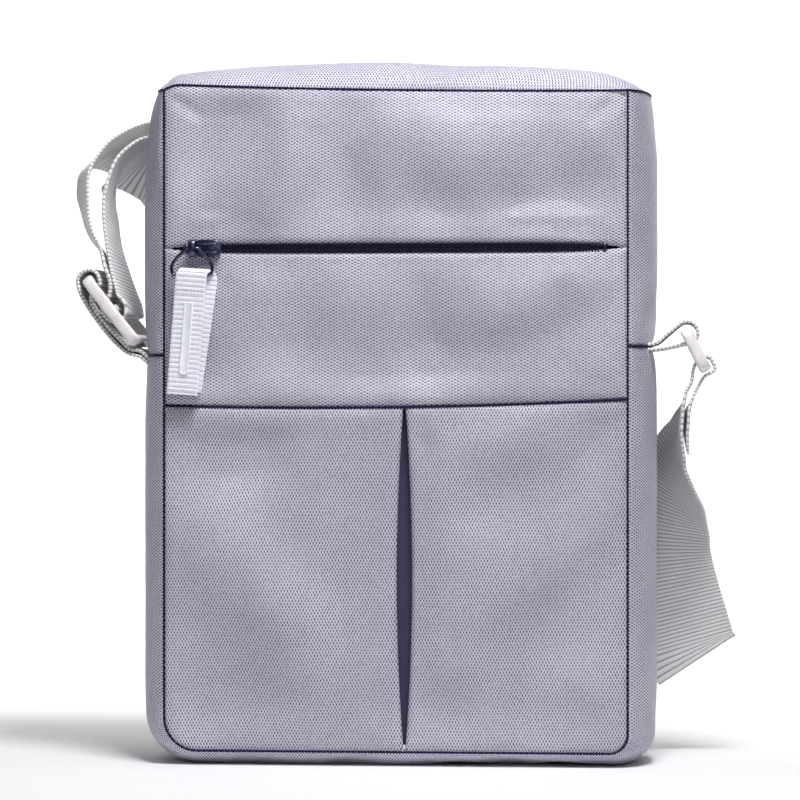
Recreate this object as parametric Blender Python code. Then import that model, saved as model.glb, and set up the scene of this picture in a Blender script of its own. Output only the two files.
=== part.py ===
"""A small upright shoulder bag in woven nylon, with a zipped front pocket, a zip on top,
side tabs with plastic hardware and a webbing strap.

Frame: metres, +Z up, front towards -Y, origin on the floor under the middle of the base.
"""

import math

import bmesh
import bpy
from mathutils import Vector

MM = 0.001

# Body
HALF_WIDTH = 96.3 * MM
HALF_DEPTH = 32.5 * MM
CLOTH = 1.5 * MM
GAP = 0.3 * MM
SEAM_BOTTOM = 6.0 * MM
SEAM_TOP = 281.0 * MM
SIDE_BULGE = 10.5 * MM
TOP_SIDE_BULGE = 9.0 * MM
BOTTOM_BULGE = SEAM_BOTTOM
BOTTOM_FLAT = 16.0 * MM
CORNER_LEFT = 14.0 * MM
CORNER_RIGHT = 8.0 * MM
SIDE_SEAM_LEFT = 171.0 * MM
SIDE_SEAM_RIGHT = 174.5 * MM
GUSSET_TOP = 279.0 * MM
PANEL_TOP = 279.6 * MM

# Top
TOP_CREST = 11.5 * MM
CREST_Y = 15.0 * MM
VALLEY_Y = 7.0 * MM
VALLEY = 3.0 * MM
END_FALL_LEFT = 8
END_FALL_RIGHT = 6
VALLEY_FALL = 24

# Front
ZIP_Z = 215.0 * MM
ZIP_SLIT = 2.0 * MM
BAND_SEAM = 150.3 * MM
PLEAT_X = 4.0 * MM
PLEAT_HALF = 3.0 * MM
PLEAT_SEAM_HALF = 0.25 * MM
DIVIDER_Y = -24.0 * MM

# Zips, in the zip's own frame: u along the teeth, v across them, w out of the bag
TEETH_GAP = 0.5 * MM
TEETH_WIDTH = 1.2 * MM
TEETH_DEPTH = 1.1 * MM
TEETH_SINK = 0.4 * MM
TAPE_THICK = 0.6 * MM
TAPE_REACH = 12.0 * MM
ZIP_HALF = 88.0 * MM
STOP_LENGTH = 2.0 * MM
WEB_THICK = 0.4 * MM
PLATE_HALF_LENGTH = 7.0 * MM
PLATE_HALF_WIDTH = 4.0 * MM
PLATE_THICK = 1.7 * MM
PLATE_CLEAR = 0.4 * MM
BRIDGE_WIDTH = 3.0 * MM
BRIDGE_LIFT = 3.2 * MM
BRIDGE_THICK = 1.1 * MM
BRIDGE_FOOT = 1.3 * MM
BACK_PLATE_THICK = 1.0 * MM
LINK_WIRE = 0.75 * MM
LINK_DROP = 11.0 * MM
LINK_TOP_HALF = 3.4 * MM
LINK_HALF = 8.3 * MM
PULL_WIDTH = 13.0 * MM
PULL_LENGTH = 50.0 * MM
PULL_THICK = 1.2 * MM
PULL_CLEAR = 0.4 * MM
PULL_LEAN = math.radians(4.5)
BAR_WIDTH = 3.7 * MM
BAR_LENGTH = 30.0 * MM
BAR_THICK = 0.5 * MM
BAR_DROP = 11.5 * MM
BAR_CLEAR = 0.1 * MM
FRONT_SLIDER_X = -84.0 * MM
FRONT_BODY_SHIFT = 5.0 * MM
MAIN_SLIDER_X = 76.0 * MM

# Strap
WEBBING = 38.0 * MM
WEBBING_THICK = 1.5 * MM
RAIL = 4.0 * MM
BAR = 4.0 * MM
FRAME_THICK = 5.0 * MM
ADJUSTER_CENTRE = Vector((-120.5, 0, 189.5)) * MM
ADJUSTER_ALONG = Vector((-0.618, 0, 0.786)).normalized()
ADJUSTER_HALF = 17.8 * MM
RING_CENTRE = Vector((124.3, 0, 173.0)) * MM
RING_ALONG = Vector((0.455, 0, -0.890)).normalized()
RING_HALF = 10.0 * MM
TAB_HINGE = Vector((-107.9, 0, 172.0)) * MM

FABRIC = ("fabric", (0.36, 0.35, 0.44), 0.62, 0.0)
LINING = ("lining", (0.25, 0.24, 0.33), 0.75, 0.0)
ZIP_FABRIC = ("zip_tape", (0.02, 0.02, 0.08), 0.8, 0.0)
ZIP_TEETH = ("zip_teeth", (0.02, 0.02, 0.07), 0.45, 0.0)
DARK_METAL = ("dark_metal", (0.05, 0.05, 0.14), 0.35, 1.0)
PULL_TAPE = ("pull_webbing", (0.80, 0.79, 0.88), 0.8, 0.0)
PULL_MARK = ("pull_bar", (0.93, 0.93, 0.95), 0.5, 0.0)
STRAP_TAPE = ("strap_webbing", (0.78, 0.76, 0.76), 0.85, 0.0)
PLASTIC = ("white_plastic", (0.85, 0.83, 0.83), 0.4, 0.0)


def clear_scene():
    """Takes every object out of the scene."""
    for obj in list(bpy.data.objects):
        bpy.data.objects.remove(obj)


def make_material(finish):
    """A Principled material for one finish, made once and then shared."""
    name, colour, roughness, metallic = finish
    found = bpy.data.materials.get(name)
    if found:
        return found
    made = bpy.data.materials.new(name)
    made.use_nodes = True
    shader = made.node_tree.nodes["Principled BSDF"]
    shader.inputs["Base Color"].default_value = (*colour, 1)
    shader.inputs["Roughness"].default_value = roughness
    shader.inputs["Metallic"].default_value = metallic
    return made


def add_object(name, bm, finish, origin=(0, 0, 0), smooth=False):
    """Turns a bmesh in world coordinates into an object with its origin at origin."""
    bmesh.ops.recalc_face_normals(bm, faces=bm.faces)
    if bm.calc_volume(signed=True) < 0:
        bmesh.ops.reverse_faces(bm, faces=bm.faces)
    bmesh.ops.translate(bm, verts=bm.verts, vec=-Vector(origin))
    mesh = bpy.data.meshes.new(name)
    bm.to_mesh(mesh)
    bm.free()
    if smooth:
        mesh.shade_smooth()
        mesh.set_sharp_from_angle(angle=math.radians(40))
    obj = bpy.data.objects.new(name, mesh)
    obj.location = origin
    obj.data.materials.append(make_material(finish))
    bpy.context.scene.collection.objects.link(obj)
    return obj


def grid_normals(points):
    """The surface normal at each point of a grid, from its neighbours."""
    rows, cols = len(points), len(points[0])
    normals = []
    for i in range(rows):
        line = []
        for j in range(cols):
            along = points[min(i + 1, rows - 1)][j] - points[max(i - 1, 0)][j]
            across = points[i][min(j + 1, cols - 1)] - points[i][max(j - 1, 0)]
            line.append(along.cross(across).normalized())
        normals.append(line)
    return normals


def sheet_solid(outer, inner):
    """A closed bmesh between two grids of points with the same rows and columns."""
    bm = bmesh.new()
    faces = [[[bm.verts.new(p) for p in row] for row in grid] for grid in (outer, inner)]
    top, low = faces
    rows, cols = len(top), len(top[0])
    for i in range(rows - 1):
        for j in range(cols - 1):
            bm.faces.new((top[i][j], top[i + 1][j], top[i + 1][j + 1], top[i][j + 1]))
            bm.faces.new((low[i][j], low[i][j + 1], low[i + 1][j + 1], low[i + 1][j]))
    for i in range(rows - 1):
        for j in (0, cols - 1):
            bm.faces.new((top[i][j], low[i][j], low[i + 1][j], top[i + 1][j]))
    for j in range(cols - 1):
        for i in (0, rows - 1):
            bm.faces.new((top[i][j], top[i][j + 1], low[i][j + 1], low[i][j]))
    return bm


def inward_step(point, normal):
    """The way into the cloth: straight back from a front or back seam, else along the normal."""
    if abs(point.y) > HALF_DEPTH - 0.01 * MM:
        return Vector((0, -math.copysign(1, point.y), 0))
    return normal


def cloth_shell(points, inward):
    """A cloth of even thickness whose outer face is the grid, lying on its inward side."""
    normals = grid_normals(points)
    middle = normals[len(points) // 2][len(points[0]) // 2]
    sign = 1 if middle.dot(Vector(inward)) > 0 else -1
    inner = []
    for row, line in zip(points, normals):
        inner.append([p + inward_step(p, n * sign) * CLOTH for p, n in zip(row, line)])
    return sheet_solid(points, inner)


def flat_panel(outline, y_low, y_high):
    """A closed plate with an outline of (x, z) points, between two depths."""
    bm = bmesh.new()
    face = bm.faces.new([bm.verts.new((x, y_low, z)) for x, z in outline])
    grown = bmesh.ops.extrude_face_region(bm, geom=[face])
    moved = [v for v in grown["geom"] if isinstance(v, bmesh.types.BMVert)]
    bmesh.ops.translate(bm, verts=moved, vec=(0, y_high - y_low, 0))
    return bm


def box_mesh(low, high):
    """A closed box between two corners."""
    bm = bmesh.new()
    bmesh.ops.create_cube(bm, size=1)
    for v in bm.verts:
        v.co = Vector(low[k] + (v.co[k] + 0.5) * (high[k] - low[k]) for k in range(3))
    return bm


def arc(centre, radius, start, end, steps):
    """Points (x, z) on an arc, with angles in degrees from +X towards +Z."""
    turn = [math.radians(start + (end - start) * k / steps) for k in range(steps + 1)]
    return [(centre[0] + radius * math.cos(a), centre[1] + radius * math.sin(a)) for a in turn]


def spread(low, high, count):
    """Even values from low to high."""
    return [low + (high - low) * k / (count - 1) for k in range(count)]


# ---------------------------------------------------------------- cloth body


def bulge_share(y, flat):
    """How far the gusset stands out at depth y, from 0 at the seams to 1 in the middle."""
    t = max(0.0, (abs(y) - flat) / (HALF_DEPTH - flat))
    return math.sqrt(max(0.0, 1 - t * t))


def seam_depths():
    """Depths from the front seam to the back seam, closer together near the seams."""
    steps = 12
    return [-HALF_DEPTH * math.cos(math.pi * k / steps) for k in range(steps + 1)]


def side_gusset(name, side, bottom):
    """The upper half of a side, from the tab's seam to the top panel."""
    grid = []
    for z in spread(bottom, GUSSET_TOP, 6):
        share = (z - bottom) / (GUSSET_TOP - bottom)
        bulge = SIDE_BULGE + (TOP_SIDE_BULGE - SIDE_BULGE) * share
        foot = HALF_WIDTH + GAP
        grid.append([Vector((side * (foot + bulge * bulge_share(y, 0)), y, z)) for y in seam_depths()])
    add_object(name, cloth_shell(grid, (-side, 0, 0)), FABRIC, smooth=True)


def lower_path():
    """Stations down the left side, along the bottom and up the right side of the lower gusset.

    Each is the seam's (x, z), the outward direction (x, z), the bulge and its flat half-width.
    """
    path = []
    left, right = -HALF_WIDTH - GAP, HALF_WIDTH + GAP
    low = SEAM_BOTTOM - GAP
    for z in spread(SIDE_SEAM_LEFT - 2 * GAP, low + CORNER_LEFT, 4)[:-1]:
        path.append(((left, z), (-1, 0), SIDE_BULGE, 0.0))
    corners = (
        ((left + CORNER_LEFT, low + CORNER_LEFT), CORNER_LEFT, 180, 270),
        ((right - CORNER_RIGHT, low + CORNER_RIGHT), CORNER_RIGHT, 270, 360),
    )
    steps = 6
    for centre, radius, start, end in corners:
        for k, point in enumerate(arc(centre, radius, start, end, steps)):
            angle = math.radians(start + (end - start) * k / steps)
            down = k / steps if start == 180 else 1 - k / steps
            ease = down * down * (3 - 2 * down)
            bulge = SIDE_BULGE + (BOTTOM_BULGE - GAP - SIDE_BULGE) * ease
            path.append((point, (math.cos(angle), math.sin(angle)), bulge, BOTTOM_FLAT * ease))
    for z in spread(low + CORNER_RIGHT, SIDE_SEAM_RIGHT - 2 * GAP, 4)[1:]:
        path.append(((right, z), (1, 0), SIDE_BULGE, 0.0))
    return path


def lower_gusset():
    """One strip: the lower halves of both sides and the bottom, flat where the bag stands."""
    grid = []
    for (x, z), (out_x, out_z), bulge, flat in lower_path():
        row = []
        for y in seam_depths():
            out = bulge * bulge_share(y, flat)
            row.append(Vector((x + out_x * out, y, z + out_z * out)))
        grid.append(row)
    add_object("lower_gusset", cloth_shell(grid, (0, 0, 1)), FABRIC, smooth=True)


def top_height(x, y):
    """Height of the top panel over its seam: two crests with the zip's valley between them."""
    reach = HALF_WIDTH + TOP_SIDE_BULGE * bulge_share(y, 0)
    power = END_FALL_LEFT if x < 0 else END_FALL_RIGHT
    share = min(1.0, abs(x) / reach)
    far = abs(y)
    if far > CREST_Y:
        rise = TOP_CREST * math.sqrt(max(0.0, 1 - ((far - CREST_Y) / (HALF_DEPTH - CREST_Y)) ** 2))
    else:
        t = max(0.0, (far - VALLEY_Y) / (CREST_Y - VALLEY_Y))
        rise = VALLEY + (TOP_CREST - VALLEY) * t * t * (3 - 2 * t)
    return min(rise, VALLEY) * (1 - share**VALLEY_FALL) + max(rise - VALLEY, 0) * (1 - share**power)


def top_panel(name, side):
    """One strip of the top, from the main zip to the front (-1) or back (+1) seam."""
    steps = 16
    inner, outer = ZIP_SLIT, HALF_DEPTH
    depths = [inner + (outer - inner) * math.sin(math.pi / 2 * k / steps) for k in range(steps + 1)]
    grid = []
    for share in (-math.cos(math.pi * k / 16) for k in range(17)):
        row = []
        for y in depths:
            reach = HALF_WIDTH + TOP_SIDE_BULGE * bulge_share(y, 0)
            x = share * reach
            row.append(Vector((x, side * y, SEAM_TOP + top_height(x, y))))
        grid.append(row)
    add_object(name, cloth_shell(grid, (0, 0, -1)), FABRIC, smooth=True)


def panel_outline(top, bottom, inset=0.0):
    """The outline of a whole front or back panel, with its rounded bottom corners."""
    left, right = -HALF_WIDTH + inset, HALF_WIDTH - inset
    low = bottom + inset
    r_left, r_right = CORNER_LEFT, CORNER_RIGHT
    points = [(left, top), *arc((left + r_left, low + r_left), r_left, 180, 270, 6)]
    points += [*arc((right - r_right, low + r_right), r_right, 270, 360, 5), (right, top)]
    return points


def pleat_edge(side):
    """One edge of the pleat's slit, top to bottom, as (x, z) points."""
    top, bottom = BAND_SEAM - GAP, SEAM_BOTTOM
    edge = []
    for t in spread(0, 1, 11):
        half = PLEAT_SEAM_HALF + PLEAT_HALF * math.sin(math.pi * t) ** 0.8
        edge.append((PLEAT_X + side * half, top + (bottom - top) * t))
    return edge


def front_panels():
    """The front: above the zip, the band below it, and two lower panels either side of the pleat."""
    left, right = -HALF_WIDTH, HALF_WIDTH
    y = (-HALF_DEPTH, -HALF_DEPTH + CLOTH)
    low = ZIP_Z + ZIP_SLIT
    upper = [(left, low), (right, low), (right, PANEL_TOP), (left, PANEL_TOP)]
    add_object("front_upper_panel", flat_panel(upper, *y), FABRIC)
    high = ZIP_Z - ZIP_SLIT
    band = [(left, BAND_SEAM), (right, BAND_SEAM), (right, high), (left, high)]
    add_object("front_band_panel", flat_panel(band, *y), FABRIC)
    top = BAND_SEAM - GAP
    corner = (left + CORNER_LEFT, SEAM_BOTTOM + CORNER_LEFT)
    outline = [(left, top), *arc(corner, CORNER_LEFT, 180, 270, 6), *reversed(pleat_edge(-1))]
    add_object("pocket_panel_left", flat_panel(outline, *y), FABRIC)
    corner = (right - CORNER_RIGHT, SEAM_BOTTOM + CORNER_RIGHT)
    outline = [*pleat_edge(1), *arc(corner, CORNER_RIGHT, 270, 360, 5), (right, top)]
    add_object("pocket_panel_right", flat_panel(outline, *y), FABRIC)
    behind = -HALF_DEPTH + CLOTH + GAP
    under = box_mesh((-18 * MM, behind, 8 * MM), (26 * MM, behind + 0.8 * MM, 148 * MM))
    add_object("pleat_underlay", under, LINING)


def inner_and_back_panels():
    """The wall behind the front pocket, and the back panel."""
    wall = flat_panel(panel_outline(PANEL_TOP, SEAM_BOTTOM, 1 * MM), DIVIDER_Y, DIVIDER_Y + 1 * MM)
    add_object("pocket_divider", wall, LINING)
    back = flat_panel(panel_outline(PANEL_TOP, SEAM_BOTTOM), HALF_DEPTH - CLOTH, HALF_DEPTH)
    add_object("back_panel", back, FABRIC)


# ---------------------------------------------------------------- zips


class ZipFrame:
    """Where a zip lies: a point on its line at the cloth's outer face, and its three directions."""

    def __init__(self, point, along, across, out):
        self.point = Vector(point)
        self.axes = (Vector(along), Vector(across), Vector(out))

    def place(self, u, v, w):
        """World position of a point given along, across and out of the zip."""
        return self.point + self.axes[0] * u + self.axes[1] * v + self.axes[2] * w

    def block(self, low, high):
        """A closed box between two corners in the zip's own frame."""
        bm = box_mesh(low, high)
        for v in bm.verts:
            v.co = self.place(*v.co)
        return bm


def zip_tapes_and_teeth(prefix, frame, sides, reach):
    """The two tapes, the two rows of teeth and the two end stops."""
    teeth_out = -TEETH_SINK
    teeth_in = teeth_out - TEETH_DEPTH
    tape_out = teeth_in - GAP
    tape_in = tape_out - TAPE_THICK
    for side, word in sides:
        spans = sorted((side * TEETH_GAP, side * (TEETH_GAP + reach)))
        tape = frame.block((-ZIP_HALF, spans[0], tape_in), (ZIP_HALF, spans[1], tape_out))
        add_object(f"{prefix}_zip_tape_{word}", tape, ZIP_FABRIC)
        spans = sorted((side * TEETH_GAP, side * (TEETH_GAP + TEETH_WIDTH)))
        end = ZIP_HALF - STOP_LENGTH - GAP
        teeth = frame.block((-end, spans[0], teeth_in), (end, spans[1], teeth_out))
        add_object(f"{prefix}_zip_teeth_{word}", teeth, ZIP_TEETH)
    for side, word in ((-1, "left"), (1, "right")):
        spans = sorted((side * (ZIP_HALF - STOP_LENGTH), side * ZIP_HALF))
        half = TEETH_GAP + TEETH_WIDTH
        stop = frame.block((spans[0], -half, teeth_in), (spans[1], half, teeth_out))
        add_object(f"{prefix}_zip_stop_{word}", stop, DARK_METAL)


def cell_solid(lines_u, lines_v, filled, thickness, place):
    """A plate made of filled cells of a grid, closed, with square edges where a cell is empty."""
    bm = bmesh.new()
    verts = {}

    def corner(i, j, k):
        key = (i, j, k)
        if key not in verts:
            verts[key] = bm.verts.new(place(lines_u[i], lines_v[j], thickness[k]))
        return verts[key]

    for i, j in filled:
        for k in (0, 1):
            bm.faces.new([corner(*c, k) for c in ((i, j), (i + 1, j), (i + 1, j + 1), (i, j + 1))])
        walls = (
            ((i - 1, j), (i, j), (i, j + 1)),
            ((i + 1, j), (i + 1, j), (i + 1, j + 1)),
            ((i, j - 1), (i, j), (i + 1, j)),
            ((i, j + 1), (i, j + 1), (i + 1, j + 1)),
        )
        for beyond, a, b in walls:
            if beyond not in filled:
                bm.faces.new((corner(*a, 0), corner(*b, 0), corner(*b, 1), corner(*a, 1)))
    return bm


def slider(name, frame, at, shift, arch_along):
    """A slider: plate over the teeth, web between them, plate behind, and a bridge for the link.

    The bridge arches along the zip or across it, so that the link's wire crosses under it.
    """
    sink = 0.5 * MM
    plate = PLATE_CLEAR
    top = plate + PLATE_THICK
    arch = top + BRIDGE_LIFT
    back = -(TEETH_SINK + TEETH_DEPTH + GAP + TAPE_THICK + GAP)
    half, foot, slim = PLATE_HALF_WIDTH, PLATE_HALF_WIDTH - BRIDGE_FOOT, BRIDGE_WIDTH / 2
    near, far = at + shift - PLATE_HALF_LENGTH, at + shift + PLATE_HALF_LENGTH
    middle = at + shift
    web = PLATE_HALF_LENGTH / 2

    def bridge_block(low, high, bottom, ceiling, thin):
        """A block from low to high the way the bridge arches."""
        if arch_along:
            return frame.block((at + low, -thin, bottom), (at + high, thin, ceiling))
        return frame.block((at - thin, low, bottom), (at + thin, high, ceiling))

    crown = arch + BRIDGE_THICK
    parts = [
        frame.block((middle - web, -WEB_THICK / 2, back - sink), (middle + web, WEB_THICK / 2, plate + sink)),
        frame.block((near, -half, back - BACK_PLATE_THICK), (far, half, back)),
        bridge_block(-half, -foot, top - sink, crown, slim),
        bridge_block(foot, half, top - sink, crown, slim),
        bridge_block(-half + 0.2 * MM, half - 0.2 * MM, arch, crown - 0.05 * MM, slim - 0.05 * MM),
    ]
    body = add_object(name, frame.block((near, -half, plate), (far, half, top)), DARK_METAL)
    for number, part in enumerate(parts):
        cutter = add_object(f"{name}_piece_{number}", part, DARK_METAL)
        cutter.hide_render = True
        cutter.display_type = "WIRE"
        joined = body.modifiers.new(f"join_{number}", "BOOLEAN")
        joined.operation = "UNION"
        joined.solver = "EXACT"
        joined.object = cutter


def wire_loop(points, radius, sides=8):
    """A closed loop of round wire through points, each given with the loop's own normal."""
    bm = bmesh.new()
    count = len(points)
    normal = (points[1] - points[0]).cross(points[2] - points[1]).normalized()
    rings = []
    for k in range(count):
        before = (points[k] - points[k - 1]).normalized()
        after = (points[(k + 1) % count] - points[k]).normalized()
        tangent = (before + after).normalized()
        outward = tangent.cross(normal).normalized()
        stretch = 1 / max(0.5, tangent.dot(after))
        ring = []
        for s in range(sides):
            a = 2 * math.pi * (s + 0.5) / sides
            reach = outward * stretch * math.cos(a) + normal * math.sin(a)
            ring.append(bm.verts.new(points[k] + reach * radius))
        rings.append(ring)
    for k in range(count):
        near, far = rings[k], rings[(k + 1) % count]
        for s in range(sides):
            t = (s + 1) % sides
            bm.faces.new((near[s], far[s], far[t], near[t]))
    return bm


def link_outline():
    """The link's wire, as (across, down) points: narrow under the bridge, wide at the webbing."""
    drop = LINK_DROP
    half = [
        (LINK_TOP_HALF - 1.2 * MM, 0),
        (LINK_TOP_HALF, -1.0 * MM),
        (LINK_HALF - 1.0 * MM, -5.0 * MM),
        (LINK_HALF, -6.5 * MM),
        (LINK_HALF, -drop + 1.2 * MM),
        (LINK_HALF - 1.2 * MM, -drop),
    ]
    return half + [(-x, z) for x, z in reversed(half)]


def ribbon_sections(stations, per_span):
    """Smooth sections through stations of (centre, width direction), as centres and directions."""
    centres = [Vector(c) for c, _ in stations]
    widths = [Vector(w).normalized() for _, w in stations]
    out = []
    last = len(stations) - 1
    for k in range(last):
        p = [centres[max(k - 1, 0)], centres[k], centres[k + 1], centres[min(k + 2, last)]]
        for step in range(per_span):
            t = step / per_span
            smooth = 0.5 * (
                2 * p[1]
                + (p[2] - p[0]) * t
                + (2 * p[0] - 5 * p[1] + 4 * p[2] - p[3]) * t * t
                + (3 * p[1] - p[0] - 3 * p[2] + p[3]) * t**3
            )
            out.append((smooth, widths[k].lerp(widths[k + 1], t).normalized()))
    out.append((centres[-1], widths[-1]))
    return out


def folded_pull(place, turned, origin, name):
    """Webbing folded double round the link's lower wire and hanging from it."""
    clear = LINK_WIRE + PULL_CLEAR + PULL_THICK / 2
    path = [(-PULL_LENGTH, clear)]
    path += [(-4.0 * MM, clear), (0, clear)]
    rise = clear + 0.7 * MM
    path += [(rise * math.sin(a), clear * math.cos(a)) for a in (math.pi / 4, math.pi / 2, math.pi * 3 / 4)]
    path += [(0, -clear), (-4.0 * MM, -clear), (-PULL_LENGTH + 1.5 * MM, -clear)]
    across = turned(1, 0) - turned(0, 0)
    sections = [(place(turned(0, down), out), across) for down, out in path]
    body = ribbon(sections, PULL_WIDTH, PULL_THICK)
    add_object(name, body, PULL_TAPE, origin)


def zip_pull(prefix, frame, at, down_axis, across_axis, lean):
    """The link on the bridge, the webbing folded round the link, and the plain bar on it."""
    wire_out = PLATE_CLEAR + PLATE_THICK + BRIDGE_LIFT - LINK_WIRE - 0.1 * MM
    pivot = frame.place(at, 0, wire_out)
    out = frame.axes[2]

    def link_place(across, down, w=0.0):
        return pivot + across_axis * across + down_axis * -down + out * w

    points = [link_place(across, down) for across, down in link_outline()]
    add_object(f"{prefix}_pull_link", wire_loop(points, LINK_WIRE), DARK_METAL, pivot, smooth=True)
    foot = link_place(0, -LINK_DROP)

    def turned(across, down):
        c, s = math.cos(lean), math.sin(lean)
        return across_axis * (across * c + down * s) + down_axis * (across * s - down * c)

    def place(offset, w):
        return foot + offset + out * w

    folded_pull(place, turned, foot, f"{prefix}_pull_webbing")
    face = LINK_WIRE + PULL_CLEAR + PULL_THICK + BAR_CLEAR
    low = (-BAR_WIDTH / 2, -BAR_DROP - BAR_LENGTH, face)
    high = (BAR_WIDTH / 2, -BAR_DROP, face + BAR_THICK)
    corners = box_mesh(low, high)
    for v in corners.verts:
        v.co = place(turned(v.co.x, v.co.y), v.co.z)
    add_object(f"{prefix}_pull_bar", corners, PULL_MARK, foot)


def front_zip():
    """The front pocket's zip, with its slider at the left and the pull hanging down."""
    frame = ZipFrame((0, -HALF_DEPTH, ZIP_Z), (1, 0, 0), (0, 0, 1), (0, -1, 0))
    zip_tapes_and_teeth("front", frame, ((1, "upper"), (-1, "lower")), TAPE_REACH)
    slider("front_zip_slider", frame, FRONT_SLIDER_X, FRONT_BODY_SHIFT, False)
    down, across = Vector((0, 0, -1)), Vector((1, 0, 0))
    zip_pull("front", frame, FRONT_SLIDER_X, down, across, PULL_LEAN)


def main_zip():
    """The zip on top, in the valley between the two strips, with its slider at the right."""
    frame = ZipFrame((0, 0, SEAM_TOP + VALLEY), (1, 0, 0), (0, 1, 0), (0, 0, 1))
    zip_tapes_and_teeth("main", frame, ((-1, "front"), (1, "back")), 5 * MM)
    slider("main_zip_slider", frame, MAIN_SLIDER_X, 0, True)
    down, across = Vector((-1, 0, 0)), Vector((0, 1, 0))
    zip_pull("main", frame, MAIN_SLIDER_X, down, across, 0)


# ---------------------------------------------------------------- strap


def band(edges, thickness):
    """A closed flat band between pairs of edge points, one pair for each section."""
    outer, inner = [], []
    last = len(edges) - 1
    for k, (left, right) in enumerate(edges):
        before, after = edges[max(k - 1, 0)], edges[min(k + 1, last)]
        ahead = (after[0] + after[1]) - (before[0] + before[1])
        normal = ahead.cross(right - left).normalized() * thickness / 2
        outer.append([left + normal, right + normal])
        inner.append([left - normal, right - normal])
    return sheet_solid(outer, inner)


def ribbon_edges(sections, width):
    """The two edges of a flat band at each section of (centre, width direction)."""
    edges = []
    last = len(sections) - 1
    for k, (centre, across) in enumerate(sections):
        ahead = sections[min(k + 1, last)][0] - sections[max(k - 1, 0)][0]
        normal = ahead.cross(across)
        side = normal.cross(ahead).normalized() * (width / 2)
        edges.append((centre - side, centre + side))
    return edges


def ribbon(sections, width, thickness):
    """A closed flat band through sections of (centre, width direction)."""
    return band(ribbon_edges(sections, width), thickness)


def webbing_run(stations, per_span=3):
    """Strap edges through stations in millimetres, each with its own width direction."""
    scaled = [(Vector(centre) * MM, across) for centre, across in stations]
    return ribbon_edges(ribbon_sections(scaled, per_span), WEBBING)


class Hardware:
    """A plastic frame that webbing passes through: its middle, its long way, and its pivot."""

    def __init__(self, centre, along, half, pivot):
        self.centre, self.along, self.half, self.pivot = centre, along, half, pivot
        self.up = Vector((0, 1, 0)).cross(along).normalized()

    def place(self, u, y, w):
        """World position of a point given along the frame, along Y, and through it."""
        return self.centre + self.along * u + Vector((0, y, 0)) + self.up * w

    def bend(self, name, points, per_span=2):
        """Webbing bent round the frame's bars through (along, through) points in millimetres."""
        stations = [(self.place(u * MM, 0, w * MM), (0, 1, 0)) for u, w in points]
        body = ribbon(ribbon_sections(stations, per_span), WEBBING, WEBBING_THICK)
        add_object(name, body, STRAP_TAPE, self.pivot, smooth=True)

    def buckle(self, name, bars):
        """The moulded frame with a cross bar at each place along it."""
        inner = WEBBING / 2 + 0.7 * MM
        lines_y = [-inner - RAIL, -inner, inner, inner + RAIL]
        lines_u = [edge for bar in bars for edge in (bar - BAR / 2, bar + BAR / 2)]
        filled = set()
        for i in range(len(lines_u) - 1):
            filled.update({(i, 0), (i, 2)})
            if i % 2 == 0:
                filled.add((i, 1))
        thickness = (-FRAME_THICK / 2, FRAME_THICK / 2)
        body = cell_solid(lines_u, lines_y, filled, thickness, self.place)
        made = add_object(name, body, PLASTIC, self.pivot)
        rounded = made.modifiers.new("rounded", "BEVEL")
        rounded.width = 0.8 * MM
        rounded.segments = 1
        rounded.limit_method = "ANGLE"


def left_hardware():
    """The left tab, the three-bar adjuster on it, and the strap's turn round the middle bar."""
    adjuster = Hardware(ADJUSTER_CENTRE, ADJUSTER_ALONG, ADJUSTER_HALF, TAB_HINGE)
    reach = ADJUSTER_HALF - BAR / 2
    adjuster.buckle("strap_adjuster", (-reach, 0, reach))
    tab = [(-22.5, -2.3), (-18, -5.8), (-10, -7.4), (0, -7.6), (9, -7.0), (15, -5.8), (19.6, -3.2)]
    tab += [(20.6, 0.4), (19.2, 3.6), (15.8, 4.6), (12.3, 2.8), (11.6, -0.6), (9.4, -4.2), (4, -5.6)]
    tab += [(-5, -5.6), (-12, -4.8), (-17.5, -3.9), (-20.4, -1.2)]
    adjuster.bend("side_tab_left", tab)
    turn = [(15.5, 8.7), (9.5, 6.4), (5.8, 2.8), (4.4, -1.2), (2.2, -3.5), (-2.2, -3.5)]
    turn += [(-4.6, -1.2), (-5.2, 2.4), (-3.4, 4.8)]
    adjuster.bend("strap_turn_left", turn)


def right_hardware():
    """The right tab, the ring on it, and the strap's end loop on the ring."""
    reach = RING_HALF - BAR / 2
    pivot = RING_CENTRE - RING_ALONG * reach
    ring = Hardware(RING_CENTRE, RING_ALONG, RING_HALF, pivot)
    ring.buckle("strap_ring", (-reach, reach))
    loop = [(13.9, 11.5), (11.0, 7.6), (7.2, 4.9), (4.6, 1.8), (4.5, -1.8), (5.5, -3.8), (8, -4.2)]
    loop += [(10.7, -3.6), (11.5, -1.6), (11.6, 1.6), (13.4, 4.8), (15.8, 8.3)]
    ring.bend("strap_loop_right", loop)
    turn = 4.6 * MM
    seam_x = 108.3 * MM
    tab = [(seam_x, 175.9 * MM), (112.5 * MM, 179.3 * MM)]
    tab += arc((pivot.x, pivot.z), turn, 125, -95, 9)
    tab += [(114.0 * MM, 174.2 * MM), (seam_x, 173.2 * MM)]
    stations = [(Vector((x, 0, z)), (0, 1, 0)) for x, z in tab]
    body = ribbon(ribbon_sections(stations, 1), WEBBING, WEBBING_THICK)
    add_object("side_tab_right", body, STRAP_TAPE, smooth=True)


def fold_edge(y):
    """The strap's folded edge at the lower right, as two points at depth y."""
    return Vector((107.6, y, 30.3)) * MM, Vector((140.7, y, 52.2)) * MM


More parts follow.
